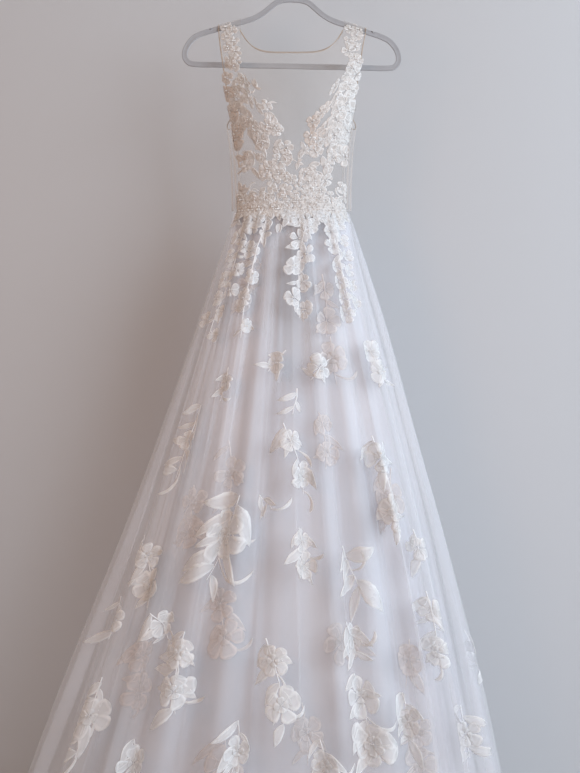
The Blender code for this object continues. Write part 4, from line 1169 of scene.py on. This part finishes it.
# The bodice's net, with bound edges whose points lie a step apart
EDGE_STEP = 0.003
front = bodice_cloth(0, NECK_FRONT, 0)
back = bodice_cloth(180, NECK_BACK, -1)
for name, cloth in (("front", front), ("back", back)):
    piece = cloth_piece("net_" + name, cloth, nude_net, "bodice_" + name)
    neck = cloth.points[-1][np.abs(np.linspace(-FRONT_SEAM, FRONT_SEAM, PANEL_COLUMNS)) <= NECK_SIDE + 1]
    tube("neck_edge_" + name, resample(neck, EDGE_STEP), 0.0007, nude_edge)
for side, name in SIDES.items():
    cloth = side_cloth(side)
    piece = cloth_piece("net_side_" + name, cloth, nude_net, "side_" + name)
    "strap_" + name
    for place, share in (("front", 0.13), ("middle", 0.42)):
        column = share if side > 0 else 1 - share
        bone = Lace(cloth, 0.0006)
        columns = np.full(30, column * (cloth.points.shape[1] - 1))
        bone.stem(columns, np.linspace(1, cloth.points.shape[0] - 2, 30), 0.007, 0.3)
        channel = bone.piece("boning_%s_channel_%s" % (name, place), channel_net, "net")
        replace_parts(channel, "boning_%s_%s" % (name, place))
    over_arm = strap_cloth(side)
    strap = cloth_piece("net_strap_" + name, over_arm, nude_net, "strap_" + name)
    armhole = armhole_path(side, front, back, over_arm, cloth)
    tube("armhole_edge_" + name, resample(armhole, EDGE_STEP), 0.0009, nude_edge)
    for half, seam_cloth, facing in (("front", front, 1), ("back", back, -1)):
        seam_line = seam_cloth.points[:, -1 if side * facing > 0 else 0]
        seam_line = seam_line[seam_line[:, 2] < SEAM_TOP]
        tube("seam_%s_%s" % (half, name), resample(seam_line, 0.004), 0.0006, white_edge)

# The skirt
overlay = skirt_layer(OVERLAY, OVERLAY_FOLDS, OVERLAY_CREASES, (420, 260), 130, GATHER_DEEP, 0.95)
tulle = skirt_layer(TULLE, TULLE_FOLDS, TULLE_CREASES, (300, 180), 100, GATHER_DEEP * 0.8, 0.75)
lining = skirt_layer(LINING, LINING_FOLDS, LINING_CREASES, (200, 130), 90, GATHER_DEEP * 0.6, 0.55)
# Each layer's finish, and the flat size and area of its front and back panels
layers = (
    ("overlay", overlay, outer_tulle, "tulle", (((1.67, 1.22), 1.22), ((1.13, 1.22), 0.87))),
    ("tulle", tulle, inner_tulle, "tulle", (((1.16, 1.19), 0.87), ((0.90, 1.19), 0.70))),
    ("lining", lining, lining_satin, "lining", (((0.91, 1.17), 0.69), ((0.74, 1.17), 0.58))),
)
for layer, parts, material, slot, cuts in layers:
    for half, (cloth, uv, values), (flat, area) in zip(("front", "back"), parts, cuts):
        node = "%s_%s" % (layer, half)
        piece = cloth_piece(node + "_cloth", cloth, material, node, uv, values)

# Lace and beads
for side in SIDES:
    sewn = strewn(front, bodice_lace(front, side, lace_white), 0.0032, 0.0032, 0.0018)
    beads("beads_" + SIDES[side], front, *sewn, 0.0036, gloss)
for half, sprays, cloth in (("front", FRONT_SPRAYS, overlay[0][0]), ("back", BACK_SPRAYS, overlay[1][0])):
    places, radii = [], []
    for name, vine in sprays.items():
        lace = Lace(cloth)
        lace.vine(*vine)
        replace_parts(lace.piece("stitched_" + name, lace_skirt), "spray_" + name)
        more_places, more_radii = strewn(cloth, lace.centres, 0.0026, 0.0050, 0.0017)
        places += more_places
        radii += more_radii
    beads("beads_skirt_" + half, cloth, places, radii, 0.0020, gloss)
lace = Lace(overlay[0][0])
for vine in SCATTERED:
    lace.vine(*vine)
for x in np.linspace(-0.104, 0.104, 17):
    place = overlay[0][0].find(x + chance.uniform(-0.004, 0.004), chance.uniform(-0.540, -0.516))
    if chance.uniform() < 0.7:
        lace.blossom(place, chance.uniform(0.011, 0.017), chance.uniform(0, math.tau), 5, 0.2)
    lace.hanging_leaves(place, (-0.6, 0.5), 0.016, 0.030, 0.6, 0.0008)
lace.piece("scattered_leaves", lace_skirt)
for name, sprays, cloth in (("front", UNDER_FRONT, tulle[0][0]), ("back", UNDER_BACK, tulle[1][0])):
    lace = Lace(cloth)
    for vine in sprays:
        lace.vine(*vine)
    lace.piece("under_lace_" + name, lace_under)
